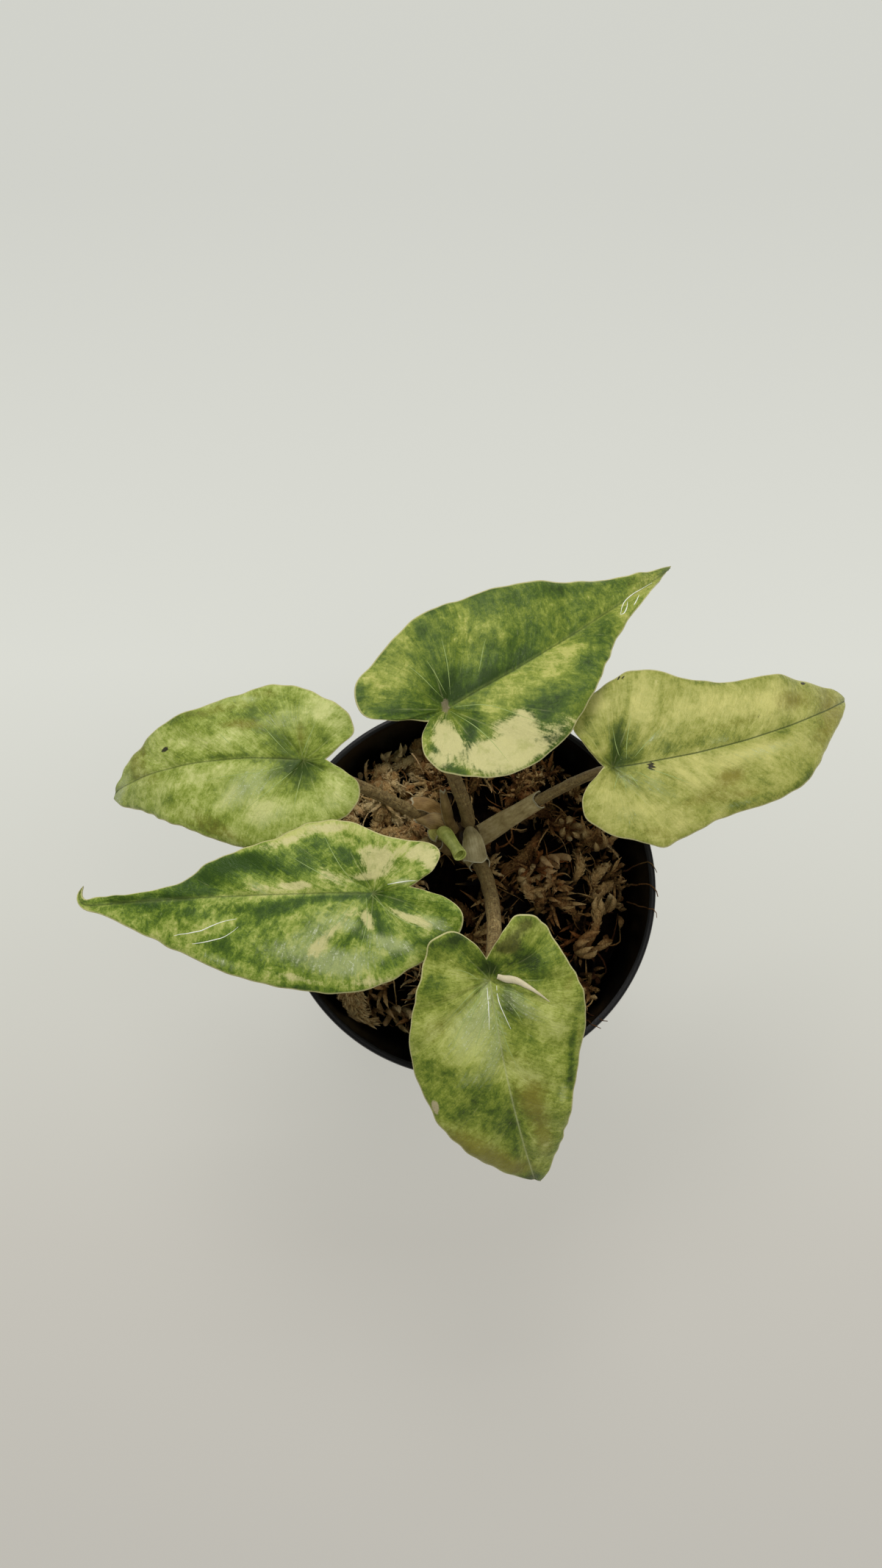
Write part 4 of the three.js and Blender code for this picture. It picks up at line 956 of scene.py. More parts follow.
# Tones of papery skin, from its dark streaks to its pale ones.
SHEATH_TONES = {
    "sheath": [(126, 108, 68), (172, 154, 106), (202, 188, 142)],
    "brown_sheath": [(92, 70, 38), (136, 112, 68), (170, 148, 100)],
    "tan_sheath": [(104, 76, 38), (152, 120, 70), (184, 154, 100)],
    "young_sheath": [(110, 104, 42), (150, 146, 70), (186, 182, 104)],
    "apron": [(122, 110, 72), (162, 150, 108), (196, 186, 146)],
    "stem": [(30, 22, 12), (56, 42, 22), (92, 72, 42)],
}
# Split sleeves round the stalks: end is a share of the stalk, opening the gap's share of the turn,
# facing where the gap looks.
SHEATH_STEPS, SHEATH_SIDES, SHEATH_THICKNESS = 70, 48, 0.22
SHEATHS = {
    "right": dict(
        end=0.49, radii=(2.75, 2.0), opening=0.34, facing=DOWN, ragged=0.045, look="sheath", seed=5
    ),
    "front": dict(
        end=0.15, radii=(2.9, 2.6), opening=0.24, facing=DOWN + 0.4, ragged=0.12, look="sheath", seed=8
    ),
    "left": dict(
        end=0.20, radii=(2.4, 2.1), opening=0.3, facing=DOWN, ragged=0.05, look="brown_sheath", seed=12
    ),
    "near_left": dict(
        end=0.17, radii=(2.4, 2.1), opening=0.3, facing=DOWN, ragged=0.05, look="brown_sheath", seed=23
    ),
}
# Loose papery remnants that grow out of the crown: cup is how far their sides hang, twist in degrees.
SCRAP_STEPS, SCRAP_SIDES, SCRAP_THICKNESS = 40, 24, 0.25
SCRAPS = {
    "plate": dict(
        corners=[(-3, 14, 73), (-6.5, 17.4, 77.5), (-10, 19.0, 79.5), (-13.8, 19.2, 79)],
        widths=[2.5, 3.2, 3.4, 3.0], cup=0.4, twist=(0, 8), ragged=0.04, look="tan_sheath", seed=31,
    ),
    "flap": dict(
        corners=[(-3, 12.5, 72), (-6, 14.4, 78.5), (-9.5, 15.2, 80), (-13, 15.4, 78.5)],
        widths=[3.0, 4.8, 4.4, 0.7], cup=1.0, twist=(0, -10), ragged=0.03, look="brown_sheath", seed=37,
    ),
    "bract": dict(
        corners=[(-4.2, 12.2, 72), (-6.8, 12.8, 78), (-7.6, 11.8, 82), (-7.2, 10.6, 84)],
        widths=[2.6, 3.6, 3.2, 1.2], cup=1.4, twist=(0, 0), ragged=0.04, look="young_sheath", seed=41,
    ),
    "spur": dict(
        corners=[(-2.2, 13, 73), (-4.0, 14.8, 79), (-5.0, 17.2, 85), (-5.8, 20.2, 90)],
        widths=[2.4, 2.7, 2.5, 1.3], cup=0.9, twist=(0, 0), ragged=0.02, look="brown_sheath", seed=43,
    ),
    "apron": dict(
        corners=[(0.2, 14.2, 76.5), (0.9, 11.8, 79.6), (1.5, 8.6, 80.2), (2.1, 4.7, 78.6)],
        widths=[3.4, 4.6, 5.4, 5.8], cup=1.7, twist=(0, 0), ragged=0.07, look="apron", seed=47,
    ),
}
STEM_HEIGHTS = [38, 60, 74.0]
STEM_SHARES, STEM_RADII = [0, 0.1, 0.5, 0.9, 1.0], [2.5, 4.5, 5.0, 4.2, 1.5]
STEM_STEPS = 31
# The leaf that is still rolled up: its path, its radius along it and how it is rolled.
NEW_LEAF = dict(
    corners=[(-4.6, 12.4, 74), (-5.6, 11.8, 81), (-4.9, 10.4, 86), (-3.4, 7.6, 91), (-2.1, 5.0, 94)],
    shares=[0, 0.25, 0.5, 0.85, 1.0], radii=[1.1, 1.7, 1.55, 1.15, 1.4],
    turns=1.55, shrink=0.24, start=2.2, thickness=0.25, steps=70, sides=60,
)


def stalk_path(leaf, t):
    """Points on a stalk's middle line, from the crown (t = 0) up to below its blade (t = 1)."""
    stalk = leaf["stalk"]
    turn, tilt, way = (math.radians(a) for a in (stalk["angle"], leaf["pitch"], leaf["heading"]))
    out = np.array([math.cos(turn), math.sin(turn), 0])
    root = np.array([*CROWN, stalk["root"]]) + out * ROOT_RADIUS
    up = np.array([-math.sin(tilt) * math.cos(way), -math.sin(tilt) * math.sin(way), math.cos(tilt)])
    end = np.array(leaf["base"], float) - up * STALK_END_GAP
    arriving = np.array([math.cos(way) * 0.55, math.sin(way) * 0.55, 0.84])
    bow = np.array([*stalk["bow"], 0])
    first = root + out * stalk["out"] + [0, 0, stalk["lift"]] + bow
    second = end - arriving * stalk["under"] + bow
    return bezier(root, first, second, end, t)


def round_piece(name, path, radii, sides, material, reference=None, rough=0.0, seed=0):
    """One tube with an uneven surface, closed at both ends, with fields s (mm along) and a (turn)."""
    steps = len(path)
    points, faces = tubes(path[None], radii[None], sides, 1.0, reference)
    points = points.reshape(steps, sides, 3)
    s = np.concatenate([[0], np.cumsum(np.linalg.norm(np.diff(path, axis=0), axis=1))])
    turn = np.arange(sides) / sides
    bumps = waves(s[:, None] * 0.9 + 4 * np.sin(TAU * turn), seed, 5, 0.5, 2.0)
    points = path[:, None] + (points - path[:, None]) * (1 + rough * bumps)[..., None]
    points = points.reshape(-1, 3)
    fields = {"s": np.repeat(s, sides), "a": np.tile(turn, steps)}
    caps = [list(range(sides)), list(range(len(points) - 1, len(points) - 1 - sides, -1))]
    return make_piece(name, points, faces.tolist() + caps, material, fields)


def stalk_material():
    sh = Shader("stalk")
    s, a = sh.field("s"), sh.field("a")
    round_a = sh.times(a, TAU)
    cosine, sine = sh.math("COSINE", round_a), sh.math("SINE", round_a)

    def round_it(across, along):
        return sh.vector(sh.times(cosine, across), sh.times(sine, across), sh.times(s, along))

    cloud = sh.noise(sh.vector(cosine, sine, sh.times(s, 0.5)), 1.4, 4.0, 0.6)
    stripes = sh.noise(round_it(5.0, 0.3), 1.0, 5.0, 0.65)
    cracks = sh.noise(round_it(1.1, 1.3), 1.2, 4.0, 0.6, 0.8)
    crack = sh.step(sh.math("ABSOLUTE", sh.math("SUBTRACT", cracks, 0.5)), 0.035, 0.008)
    blotch = sh.step(sh.add(sh.times(stripes, 0.6), sh.times(cracks, 0.4)), 0.45, 0.37)
    colour = sh.ramp(
        sh.add(sh.times(cloud, 0.5), sh.times(stripes, 0.5)),
        [(0.3, linear(108, 84, 46)), (0.5, linear(144, 122, 76)), (0.7, linear(174, 156, 106))],
    )
    colour = sh.mix(sh.times(crack, 0.6), colour, linear(66, 46, 26))
    colour = sh.mix(sh.times(blotch, 0.6), colour, linear(58, 38, 20))
    sh.bump(sh.add(stripes, sh.times(crack, -0.5)), 0.2)
    return sh.finish(colour, 0.55, Specular_IOR_Level=0.3)


def build_stalk(name, leaf, material):
    t = np.linspace(0, 1, STALK_STEPS)
    path = stalk_path(leaf, t)
    radii = np.interp(t, [0, 1], leaf["stalk"]["radii"]) * (1 - 0.35 * smooth(t, 0.94, 1))
    seed = sum(map(ord, name))
    piece = round_piece("stalk_" + name, path, radii, STALK_SIDES, material, rough=0.035, seed=seed)
    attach(piece, "root")
    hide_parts("petiole_" + name)


def sheath_material(name, tones):
    """Papery skin whose torn edges are dry and whitish."""
    sh = Shader(name)
    s, a = sh.field("s"), sh.field("a")
    grain = sh.noise(sh.vector(sh.times(a, 12.0), sh.times(s, 0.16)), 2.2, 5.0, 0.65)
    cloud = sh.noise(sh.place(), 0.4, 4.0)
    colour = sh.ramp(
        sh.add(sh.times(grain, 0.5), sh.times(cloud, 0.5)),
        [(place, linear(*tone)) for place, tone in zip([0.32, 0.5, 0.68], tones)],
    )
    spots = sh.step(sh.noise(sh.place(), 1.7, 3.0, 0.7), 0.36, 0.28)
    colour = sh.mix(sh.times(spots, 0.5), colour, linear(70, 52, 28))
    colour = sh.mix(sh.times(sh.step(sh.field("torn"), 0.55, 0.95), 0.8), colour, linear(186, 180, 150))
    sh.bump(grain, 0.16)
    return sh.finish(colour, 0.5, Specular_IOR_Level=0.3)


def closed_sheet(name, outer, inner, fields, material):
    """A thin shell from two grids of points, closed all round."""
    steps, sides, _ = outer.shape
    count = steps * sides
    faces = [grid_faces(steps, sides, flip=True), grid_faces(steps, sides, start=count)]
    for rim, flip in (
        (np.arange(sides), False),
        (np.arange(sides) + (steps - 1) * sides, True),
        (np.arange(steps) * sides, True),
        (np.arange(steps) * sides + sides - 1, False),
    ):
        wall = np.stack([rim[:-1], rim[1:], rim[1:] + count, rim[:-1] + count], -1)
        faces.append(wall[:, ::-1] if flip else wall)
    points = np.concatenate([outer.reshape(-1, 3), inner.reshape(-1, 3)])
    both = {key: np.tile(np.broadcast_to(value, (steps, sides)).ravel(), 2) for key, value in fields.items()}
    piece = make_piece(name, points, np.concatenate(faces), material, both)
    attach(piece, "root")
    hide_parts("crown")


def sides_of(path):
    """Directions across a path: level, and square to both."""
    along = unit(np.gradient(path, axis=0))
    across = unit(np.cross(along, [0, 0, 1.0]))
    return across, np.cross(across, along)


def torn_grid(share, spread, ragged, seed, pitch):
    """How far along each point of a sheet lies when its end is torn."""
    torn = 1 - ragged * (0.5 + 0.5 * waves(spread * pitch, seed, 4, 0.5, 2.2))
    return share[:, None] * torn[None, :]


def read_off(grow, share, *lines):
    return [np.stack([np.interp(grow, share, line[:, k]) for k in range(3)], -1) for line in lines]


def build_sheath(name, leaf, looks, end, radii, opening, facing, ragged, look, seed):
    """A split sleeve round a stalk."""
    share = np.linspace(0, 1, SHEATH_STEPS)
    path = stalk_path(leaf, np.linspace(0.0, end, SHEATH_STEPS))
    half = math.pi * (1 - opening)
    spread = np.linspace(-half, half, SHEATH_SIDES)
    grow = torn_grid(share, spread, ragged, seed, 2)
    path_at, across_at, up_at = read_off(grow, share, path, *sides_of(path))
    turn = spread[None, :] + facing + math.pi
    uneven = 1 + 0.025 * waves(grow * 9 + spread * 2, seed + 1, 3, 0.5, 1.5)
    wide = np.interp(grow, [0, 1], radii) * uneven
    layers = []
    for thick in (0.0, -SHEATH_THICKNESS):
        size = (wide + thick)[..., None]
        ring = across_at * np.cos(turn)[..., None] + up_at * (0.8 * np.sin(turn))[..., None]
        layers.append(path_at + ring * size)
    length = float(np.linalg.norm(np.diff(path, axis=0), axis=1).sum())
    near_end = smooth(share, 1 - 1.0 / length, 1.0)[:, None]
    near_side = smooth(np.abs(spread), half - 0.12, half)[None, :]
    fields = {"s": grow * length, "a": spread[None, :] / TAU, "torn": np.maximum(near_end, near_side)}
    closed_sheet("sheath_" + name, *layers, fields, looks[look])


def build_scrap(name, looks, corners, widths, cup, twist, ragged, look, seed):
    """A loose papery remnant along corners, cupped across its width."""
    share = np.linspace(0, 1, SCRAP_STEPS)
    path = spline(corners, SCRAP_STEPS - 1)
    across, up = sides_of(path)
    lean = np.radians(np.interp(share, [0, 1], twist))[:, None]
    across, up = across * np.cos(lean) + up * np.sin(lean), up * np.cos(lean) - across * np.sin(lean)
    spread = np.linspace(-1, 1, SCRAP_SIDES)
    grow = torn_grid(share, spread, ragged, seed, 3)
    path_at, across_at, up_at = read_off(grow, share, path, across, up)
    half = np.interp(grow, np.linspace(0, 1, len(widths)), widths) / 2
    rise = -cup * spread[None, :] ** 2 + 0.12 * waves(grow * 14 + spread * 2, seed + 2, 3, 0.5, 1.5)
    outer = path_at + across_at * (half * spread[None, :])[..., None] + up_at * rise[..., None]
    near_end = smooth(share, 0.9, 1.0)[:, None]
    near_side = smooth(np.abs(spread), 0.88, 1.0)[None, :]
    fields = {"s": grow * 9.0, "a": spread[None, :] * 0.3, "torn": np.maximum(near_end, near_side)}
    closed_sheet("scrap_" + name, outer, outer - up_at * SCRAP_THICKNESS, fields, looks[look])


def build_stem(material):
    path = spline([(*CROWN, z) for z in STEM_HEIGHTS], STEM_STEPS - 1)
    radii = np.interp(np.linspace(0, 1, STEM_STEPS), STEM_SHARES, STEM_RADII)
    reference = np.array([1.0, 0, 0])
    stem = round_piece("stem", path, radii, STALK_SIDES, material, reference, rough=0.03, seed=2)
    stem.data.attributes.new("torn", "FLOAT", "POINT")
    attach(stem, "root")
    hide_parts("crown")


def new_leaf_material():
    sh = Shader("new_leaf")
    cloud = sh.noise(sh.place(), 0.6, 4.0)
    grain = sh.noise(sh.vector(sh.times(sh.field("a"), 14.0), sh.times(sh.field("s"), 0.25)), 1.0, 3.0)
    colour = sh.ramp(
        sh.add(sh.times(cloud, 0.6), sh.times(grain, 0.4)),
        [(0.3, linear(140, 154, 66)), (0.5, linear(176, 186, 92)), (0.7, linear(208, 212, 126))],
    )
    sh.bump(grain, 0.1)
    return sh.finish(colour, 0.4, Specular_IOR_Level=0.45)


def build_new_leaf(material):
    """A blade still rolled into a tube: a spiral section that flares at its open end."""
    steps, sides = NEW_LEAF["steps"], NEW_LEAF["sides"]
    path = spline(NEW_LEAF["corners"], steps - 1)
    along = unit(np.gradient(path, axis=0))
    across = unit(np.cross(along, [0.2, 0.1, 1.0]))
    up = np.cross(across, along)
    share = np.linspace(0, 1, steps)
    radius = np.interp(share, NEW_LEAF["shares"], NEW_LEAF["radii"])
    turn = np.linspace(0, TAU * NEW_LEAF["turns"], sides)
    roll = 1 - NEW_LEAF["shrink"] * (turn / turn[-1])
    lip = 1 - 0.05 * waves(turn, 3, 3, 0.6, 1.6)
    points = (
        path[:, None]
        + across[:, None] * (radius[:, None] * roll * np.cos(turn + NEW_LEAF["start"]))[..., None]
        + up[:, None] * (radius[:, None] * roll * np.sin(turn + NEW_LEAF["start"]))[..., None]
        + along[:, None] * (smooth(share, 0.8, 1)[:, None] * (lip - 1) * 8)[..., None]
    )
    fields = {"s": np.repeat(share * 24, sides), "a": np.tile(turn / TAU, steps)}
    faces = grid_faces(steps, sides, flip=True)
    piece = make_piece("rolled_leaf", points.reshape(-1, 3), faces, material, fields)
    solid = piece.modifiers.new("thickness", "SOLIDIFY")
    solid.thickness = NEW_LEAF["thickness"] * MM
    solid.offset = -1
    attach(piece, "root")
    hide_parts("new_leaf")


# The moss

# The filling as in the CAD part, the bed under its loose strands, and the pot's inner wall.
MOSS_CREST, EDGE_DROP, MOSS_REACH = 66.5, 7.5, 38.8
BED_REACH, BED_SINK, BED_RINGS, BED_SEGMENTS = 39.8, 4.5, 60, 160
BED_FOOT_RADIUS, BED_FOOT_HEIGHT = 29.5, 2.0
WALL_HEIGHTS, WALL_RADII = [1.2, 66.5, 74.2], [30.2, 42.0, 43.2]
LOOSE_ROOM, BED_ROOM = 1.5, 0.4
SCATTER_REACH, CROWN_ROOM = 38.0, 5.0
# Cavities where no moss stands up: x, y and radius.
CAVITIES = [
    (-4, -3, 8.5), (-6, 4, 6.0), (3.5, 20, 4.6), (6, 26, 4.0), (30.7, 6.3, 3.0), (13.0, 11.5, 3.2),
    (-14, 26.5, 4.2), (-24, 16.4, 3.2),
    (22.5, -8, 3.6), (11, -8, 3.4), (35, -17, 3.2), (21, -22, 3.5), (-10, -32, 5.5), (-33, -17, 3.0),
]
# Places of claw-like heads and of some leaflets: x and y.
CLAWS = [
    (19, 7.5), (32.5, 11), (25, 15), (14, 2), (-18, -29), (34, -5), (27, -15), (3, 34), (-27, 28), (-20, 35),
    (10, 33), (28, -27), (-30, 8),
]
LEAFLETS = [
    (11.7, 3.6), (38, -5.4), (34.8, -10.7), (29.3, -21.4), (33, -28), (36, -12), (27.9, 3.6), (24, 1),
]
NEEDLES = [
    [(-13.5, 33.7, 67), (-12.0, 31.2, 69.4), (-10.6, 28.5, 67)],
    [(-14.9, 24.1, 67), (-13.6, 23.0, 70.4), (-12.4, 22.0, 68)],
    [(28.7, -32.2, 62), (31.2, -29.6, 67), (33.2, -27.2, 64)],
]
RIM_FIBRES = [
    [(38.5, 4.6, 66), (42.8, 5.8, 74.2), (44.4, 4.6, 75.7), (45.3, 3.2, 74.8)],
    [(39.0, 1.0, 66), (43.0, 0.4, 74.4), (44.6, -0.8, 75.6), (45.4, -2.6, 74.7)],
    [(39.2, -3.0, 66), (43.0, -5.4, 74.4), (44.5, -5.9, 75.6), (45.0, -7.6, 74.8)],
    [(27.5, -29.0, 62), (30.6, -31.0, 74), (31.8, -31.8, 75.6), (32.8, -31.9, 74.9)],
    [(25.5, -29.6, 62), (28.6, -32.2, 74), (29.8, -33.0, 75.6), (31.2, -33.6, 75)],
]
# Hollows of the filling as in the CAD part: x, y, radius and depth.
HOLLOWS = [
    (-1, 12, 10, 5),
    (-5, -4, 7, 9),
    (5, 24, 5, 7),
    (-20, -31, 8, 8),
    (-13, 30, 5, 5),
    (24, -12, 6, 4),
]


def moss_top(x, y):
    share = np.hypot(x, y) / MOSS_REACH
    z = MOSS_CREST - EDGE_DROP * share**5
    z = z + 1.5 * np.sin(0.29 * x + 0.8) * np.cos(0.24 * y - 0.4) + 0.9 * np.sin(0.52 * x - 0.38 * y + 1.7)
    for hx, hy, radius, depth in HOLLOWS:
        z = z - depth * np.exp(-((x - hx) ** 2 + (y - hy) ** 2) / radius**2)
    return z


def moss_bed_material():
    sh = Shader("moss_bed")
    where = sh.place()
    lumps = sh.noise(where, 0.4, 5.0, 0.65)
    fibre = sh.noise(where, 1.6, 4.0, 0.7, 1.5)
    # Its darkest tones, near black, are painted shade of the deep hollows under the strands; its browns are
    # the moss's own.
    colour = sh.ramp(
        sh.add(sh.times(lumps, 0.6), sh.times(fibre, 0.4)),
        [(0.42, linear(6, 4, 3)), (0.58, linear(26, 16, 9)), (0.76, linear(62, 42, 24))],
    )
    sh.bump(sh.add(lumps, fibre), 1.2)
    return sh.finish(colour, 0.95, Specular_IOR_Level=0.05)


def moss_material():
    sh = Shader("moss")
    where = sh.place()
    scales = sh.cells(where, 1.6)
    fibre = sh.noise(where, 2.2, 5.0, 0.72, 0.8)
    hue = sh.noise(where, 0.12, 3.0, 0.6)
    # shade holds each strand's own tone, lighter to the left and darker at the lower right, plus painted
    # highlight towards its tips.
    colour = sh.ramp(
        sh.add(sh.times(sh.field("shade"), 0.68), sh.times(fibre, 1.0), -0.42),
        [
            (0.12, linear(58, 32, 14)),
            (0.38, linear(120, 86, 46)),
            (0.62, linear(178, 146, 94)),
            (0.9, linear(216, 194, 144)),
        ],
    )
    colour = sh.mix(sh.times(sh.step(hue, 0.5, 0.64), 0.45), colour, linear(150, 92, 44))
    colour = sh.mix(sh.times(sh.step(hue, 0.44, 0.34), 0.3), colour, linear(112, 100, 52))
    # Painted shade: what lies deeper below the moss's top is darkened towards near black.
    colour = sh.mix(sh.step(sh.field("depth"), -3.0, 1.3), linear(7, 4, 2), colour)
    sh.bump(sh.add(sh.times(scales, -0.8), fibre), 0.4)
    return sh.finish(colour, 0.85, Specular_IOR_Level=0.12)


def build_moss_bed(material):
    radius = np.linspace(0.02, 1, BED_RINGS)[:, None] * BED_REACH
    turn = TAU * np.arange(BED_SEGMENTS)[None, :] / BED_SEGMENTS
    x, y = radius * np.cos(turn), radius * np.sin(turn)
    z = moss_top(x, y) - BED_SINK + 0.7 * waves(x * 0.9, 3, 4, 0.6, 1.6) * waves(y * 0.9, 4, 4, 0.6, 1.6)
    points = np.stack([x, y, z], -1).reshape(-1, 3)
    foot = points[-BED_SEGMENTS:].copy()
    foot[:, :2] *= BED_FOOT_RADIUS / BED_REACH
    foot[:, 2] = BED_FOOT_HEIGHT
    points = inside_pot(np.concatenate([points, foot]), BED_ROOM)
    faces = grid_faces(BED_RINGS + 1, BED_SEGMENTS, wrap=True).tolist()
    faces.append(list(range(BED_SEGMENTS - 1, -1, -1)))
    faces.append(list(range(len(points) - BED_SEGMENTS, len(points))))
    piece = make_piece("moss_bed", points, faces, material)
    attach(piece, "root")
    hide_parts("sphagnum_moss")


def arm_paths(draw, centre, axis, arms, length, steps, begin, finish):
    """Curved arms round each head's axis, which lean by begin at their root and by finish at their end."""
    count = len(centre)
    spin = draw.uniform(0, TAU, count)[:, None] + TAU * np.arange(arms)[None, :] / arms
    spin = spin + draw.uniform(-0.35, 0.35, (count, arms))
    side = unit(np.cross(axis, [0.3, 0.9, 0.1]))
    other = np.cross(axis, side)
    radial = side[:, None] * np.cos(spin)[..., None] + other[:, None] * np.sin(spin)[..., None]
    tangential = other[:, None] * np.cos(spin)[..., None] - side[:, None] * np.sin(spin)[..., None]
    first = draw.uniform(*begin, (count, arms))
    last = draw.uniform(*finish, (count, arms))
    sway = draw.normal(0, 0.5, (count, arms))
    t = np.linspace(0, 1, steps)
    lean = first[..., None] + (last - first)[..., None] * t
    step = (length[:, None] * draw.uniform(0.65, 1.2, (count, arms)) / (steps - 1))[..., None]
    out = np.cumsum(np.sin(lean) * step, -1) - np.sin(lean[..., :1]) * step
    rise = np.cumsum(np.cos(lean) * step, -1) - np.cos(lean[..., :1]) * step
    path = centre[:, None, None] + radial[:, :, None] * out[..., None]
    path = path + axis[:, None, None] * rise[..., None]
    path = path + tangential[:, :, None] * (sway[..., None] * out * t)[..., None]
    return path.reshape(-1, steps, 3)


def scaly(draw, count, steps, sides, scales, depth):
    """Factors on a tube's radii that cover it with overlapping scales."""
    along = np.linspace(0, 1, steps)[None, :, None] * scales
    round_it = np.arange(sides)[None, None, :] / sides * 2
    saw = (along + round_it + draw.uniform(0, 1, (count, 1, 1))) % 1.0
    return 1 + depth * (saw - 0.5) + draw.normal(0, depth * 0.25, (count, steps, sides))


def inside_pot(points, room):
    """Pulls in what would come closer than room to the pot's wall."""
    away = np.hypot(points[..., 0], points[..., 1])
    limit = np.interp(points[..., 2], WALL_HEIGHTS, WALL_RADII) - room
    pull = np.minimum(1, limit / np.maximum(away, 1e-6))
    points[..., 0] *= pull
    points[..., 1] *= pull
    return points


def spikes(draw, paths, radii, each, length, thick):
    """Small pointed leaves that stand off each tube: their paths and radii."""
    count, steps, _ = paths.shape
    place = draw.uniform(0.12, 0.97, (count, each)) * (steps - 1.001)
    i = place.astype(int)
    share = (place - i)[..., None]
    row = np.arange(count)[:, None]
    base = paths[row, i] * (1 - share) + paths[row, i + 1] * share
    along = unit(paths[row, i + 1] - paths[row, i])
    away = unit(np.cross(along, draw.normal(0, 1, (count, each, 3))))
    start = base + away * (radii[row, i] * 0.7)[..., None]
    way = unit(along * draw.uniform(0.3, 0.9, (count, each, 1)) + away)
    size = draw.uniform(*length, (count, each, 1, 1))
    t = np.linspace(0, 1, 4)[:, None]
    path = start[:, :, None] + size * (way[:, :, None] * t + along[:, :, None] * 0.4 * t**2)
    thin = draw.uniform(*thick, (count * each, 1)) * np.array([0.8, 1.0, 0.6, 0.08])
    return path.reshape(-1, 4, 3), thin


def moss_piece(name, paths, radii, sides, shades, material, flat=0.8, loose=False):
    if not loose:
        paths = inside_pot(paths, LOOSE_ROOM)
    points, faces = tubes(paths, radii, sides, flat)
    # Painted highlight: the tone rises towards each strand's end, as if its tip were lit.
    painted_tip_light = np.tile(np.repeat(np.linspace(-0.18, 0.26, paths.shape[1]), sides), len(paths))
    left = 0.34 * smooth(-points[:, 0], 0, 18) - 0.1 - 0.3 * smooth(points[:, 0] - points[:, 1], 34, 56)
    # depth, how far below the moss's top a point lies, darkens it in the material: painted shade.
    depth = points[:, 2] - moss_top(points[:, 0], points[:, 1])
    fields = {"shade": np.repeat(shades, paths.shape[1] * sides) + left + painted_tip_light, "depth": depth}
    piece = make_piece(name, points, faces, material, fields)
    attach(piece, "root")
    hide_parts("sphagnum_moss")


def scatter(draw, count, room):
    """Places in the pot clear of the crown and of the cavities."""
    found = []
    while len(found) < count:
        radius, turn = SCATTER_REACH * math.sqrt(draw.uniform()), draw.uniform(0, TAU)
        x, y = radius * math.cos(turn), radius * math.sin(turn)
        if math.hypot(x - CROWN[0], y - CROWN[1]) < CROWN_ROOM + room:
            continue
        if any(math.hypot(x - cx, y - cy) < size + room for cx, cy, size in CAVITIES):
            continue
        found.append((x, y))
    return np.array(found).T


def wander(draw, x, y, length, steps, curl, sink, rise):
    """Strands that run over the moss: sink is how deep their ends lie, rise how high their middle is."""
    count = len(x)
    heading = draw.uniform(0, TAU, count)
    turn = draw.normal(0, curl, count)
    path = np.zeros((count, steps, 3))
    path[:, 0, 0], path[:, 0, 1] = x, y
    for i in range(1, steps):
        heading = heading + (turn + draw.normal(0, 0.8, count)) / steps
        path[:, i, 0] = path[:, i - 1, 0] + np.cos(heading) * length / steps
        path[:, i, 1] = path[:, i - 1, 1] + np.sin(heading) * length / steps
    t = np.linspace(0, 1, steps)
    middle = path.mean(1)
    level = moss_top(middle[:, 0], middle[:, 1])[:, None]
    path[..., 2] = 0.5 * level + 0.5 * moss_top(path[..., 0], path[..., 1])
    path[..., 2] += -sink[:, None] + (sink + rise)[:, None] * np.sin(math.pi * t)
    return path


def stations(steps):
    """How many points each strand has, and their shares of its length."""
    return steps, np.linspace(0, 1, steps)


def finger(t):
    """How thick an arm of a moss head is along its length."""
    return (0.75 + 0.35 * np.sin(math.pi * t)) * (1 - 0.8 * smooth(t, 0.72, 1.0))


def build_heads(draw, material):
    """Heads deep down, dark with the painted shade of their depth, then heads in two layers on top of them.
    """
    steps, t = stations(13)
    for name, count, arms, low, high, room in (
        ("deep", 80, 8, -5.0, -3.2, -2.0),
        ("middle", 70, 9, -3.0, -1.0, 0.5),
        ("top", 56, 9, -1.4, 1.2, 1.2),
    ):
        x, y = scatter(draw, count, room=room)
        z = moss_top(x, y) + draw.uniform(low, high, count)
        tilt = draw.normal(0, 0.6, (count, 2))
        axis = unit(np.stack([tilt[:, 0], tilt[:, 1], np.ones(count)], -1))
        centre = np.stack([x, y, z], -1)
        length = draw.uniform(4.0, 7.4, count)
        paths = arm_paths(draw, centre, axis, arms, length, steps, (0.5, 1.7), (-0.7, 1.6))
        thick = draw.uniform(0.3, 0.58, len(paths))[:, None] * finger(t)
        radii = thick[..., None] * scaly(draw, len(paths), steps, 8, 6.5, 0.42)
        shades = np.repeat(draw.uniform(0.1, 0.8, count), arms) + draw.uniform(-0.15, 0.15, len(paths))
        moss_piece("moss_heads_" + name, paths, radii, 8, shades, material, flat=0.85)
        if name == "top":
            spiked, thin = spikes(draw, paths, thick, 8, (0.35, 0.8), (0.12, 0.22))
            moss_piece("moss_scales_top", spiked, thin, 3, np.repeat(shades, 8) + 0.1, material, flat=0.5)


def build_claws(draw, material):
    """Heads whose arms close like a claw."""
    steps, t = stations(13)
    x, y = np.array(CLAWS).T
    count, arms = len(CLAWS), 6
    centre = np.stack([x, y, moss_top(x, y) + draw.uniform(-1.0, 0.6, count)], -1)
    axis = unit(np.stack([draw.normal(0, 0.4, count), draw.normal(0.3, 0.4, count), np.ones(count)], -1))
    length = draw.uniform(7.0, 9.0, count)
    paths = arm_paths(draw, centre, axis, arms, length, steps, (0.9, 1.4), (-0.8, 0.2))
    thick = draw.uniform(0.6, 0.9, len(paths))[:, None] * finger(t)
    radii = thick[..., None] * scaly(draw, len(paths), steps, 8, 5, 0.22)
    shades = np.repeat(draw.uniform(0.5, 0.95, count), arms) + draw.uniform(-0.1, 0.1, len(paths))
    moss_piece("moss_claws", paths, radii, 8, shades + 0.15, material, flat=0.85)


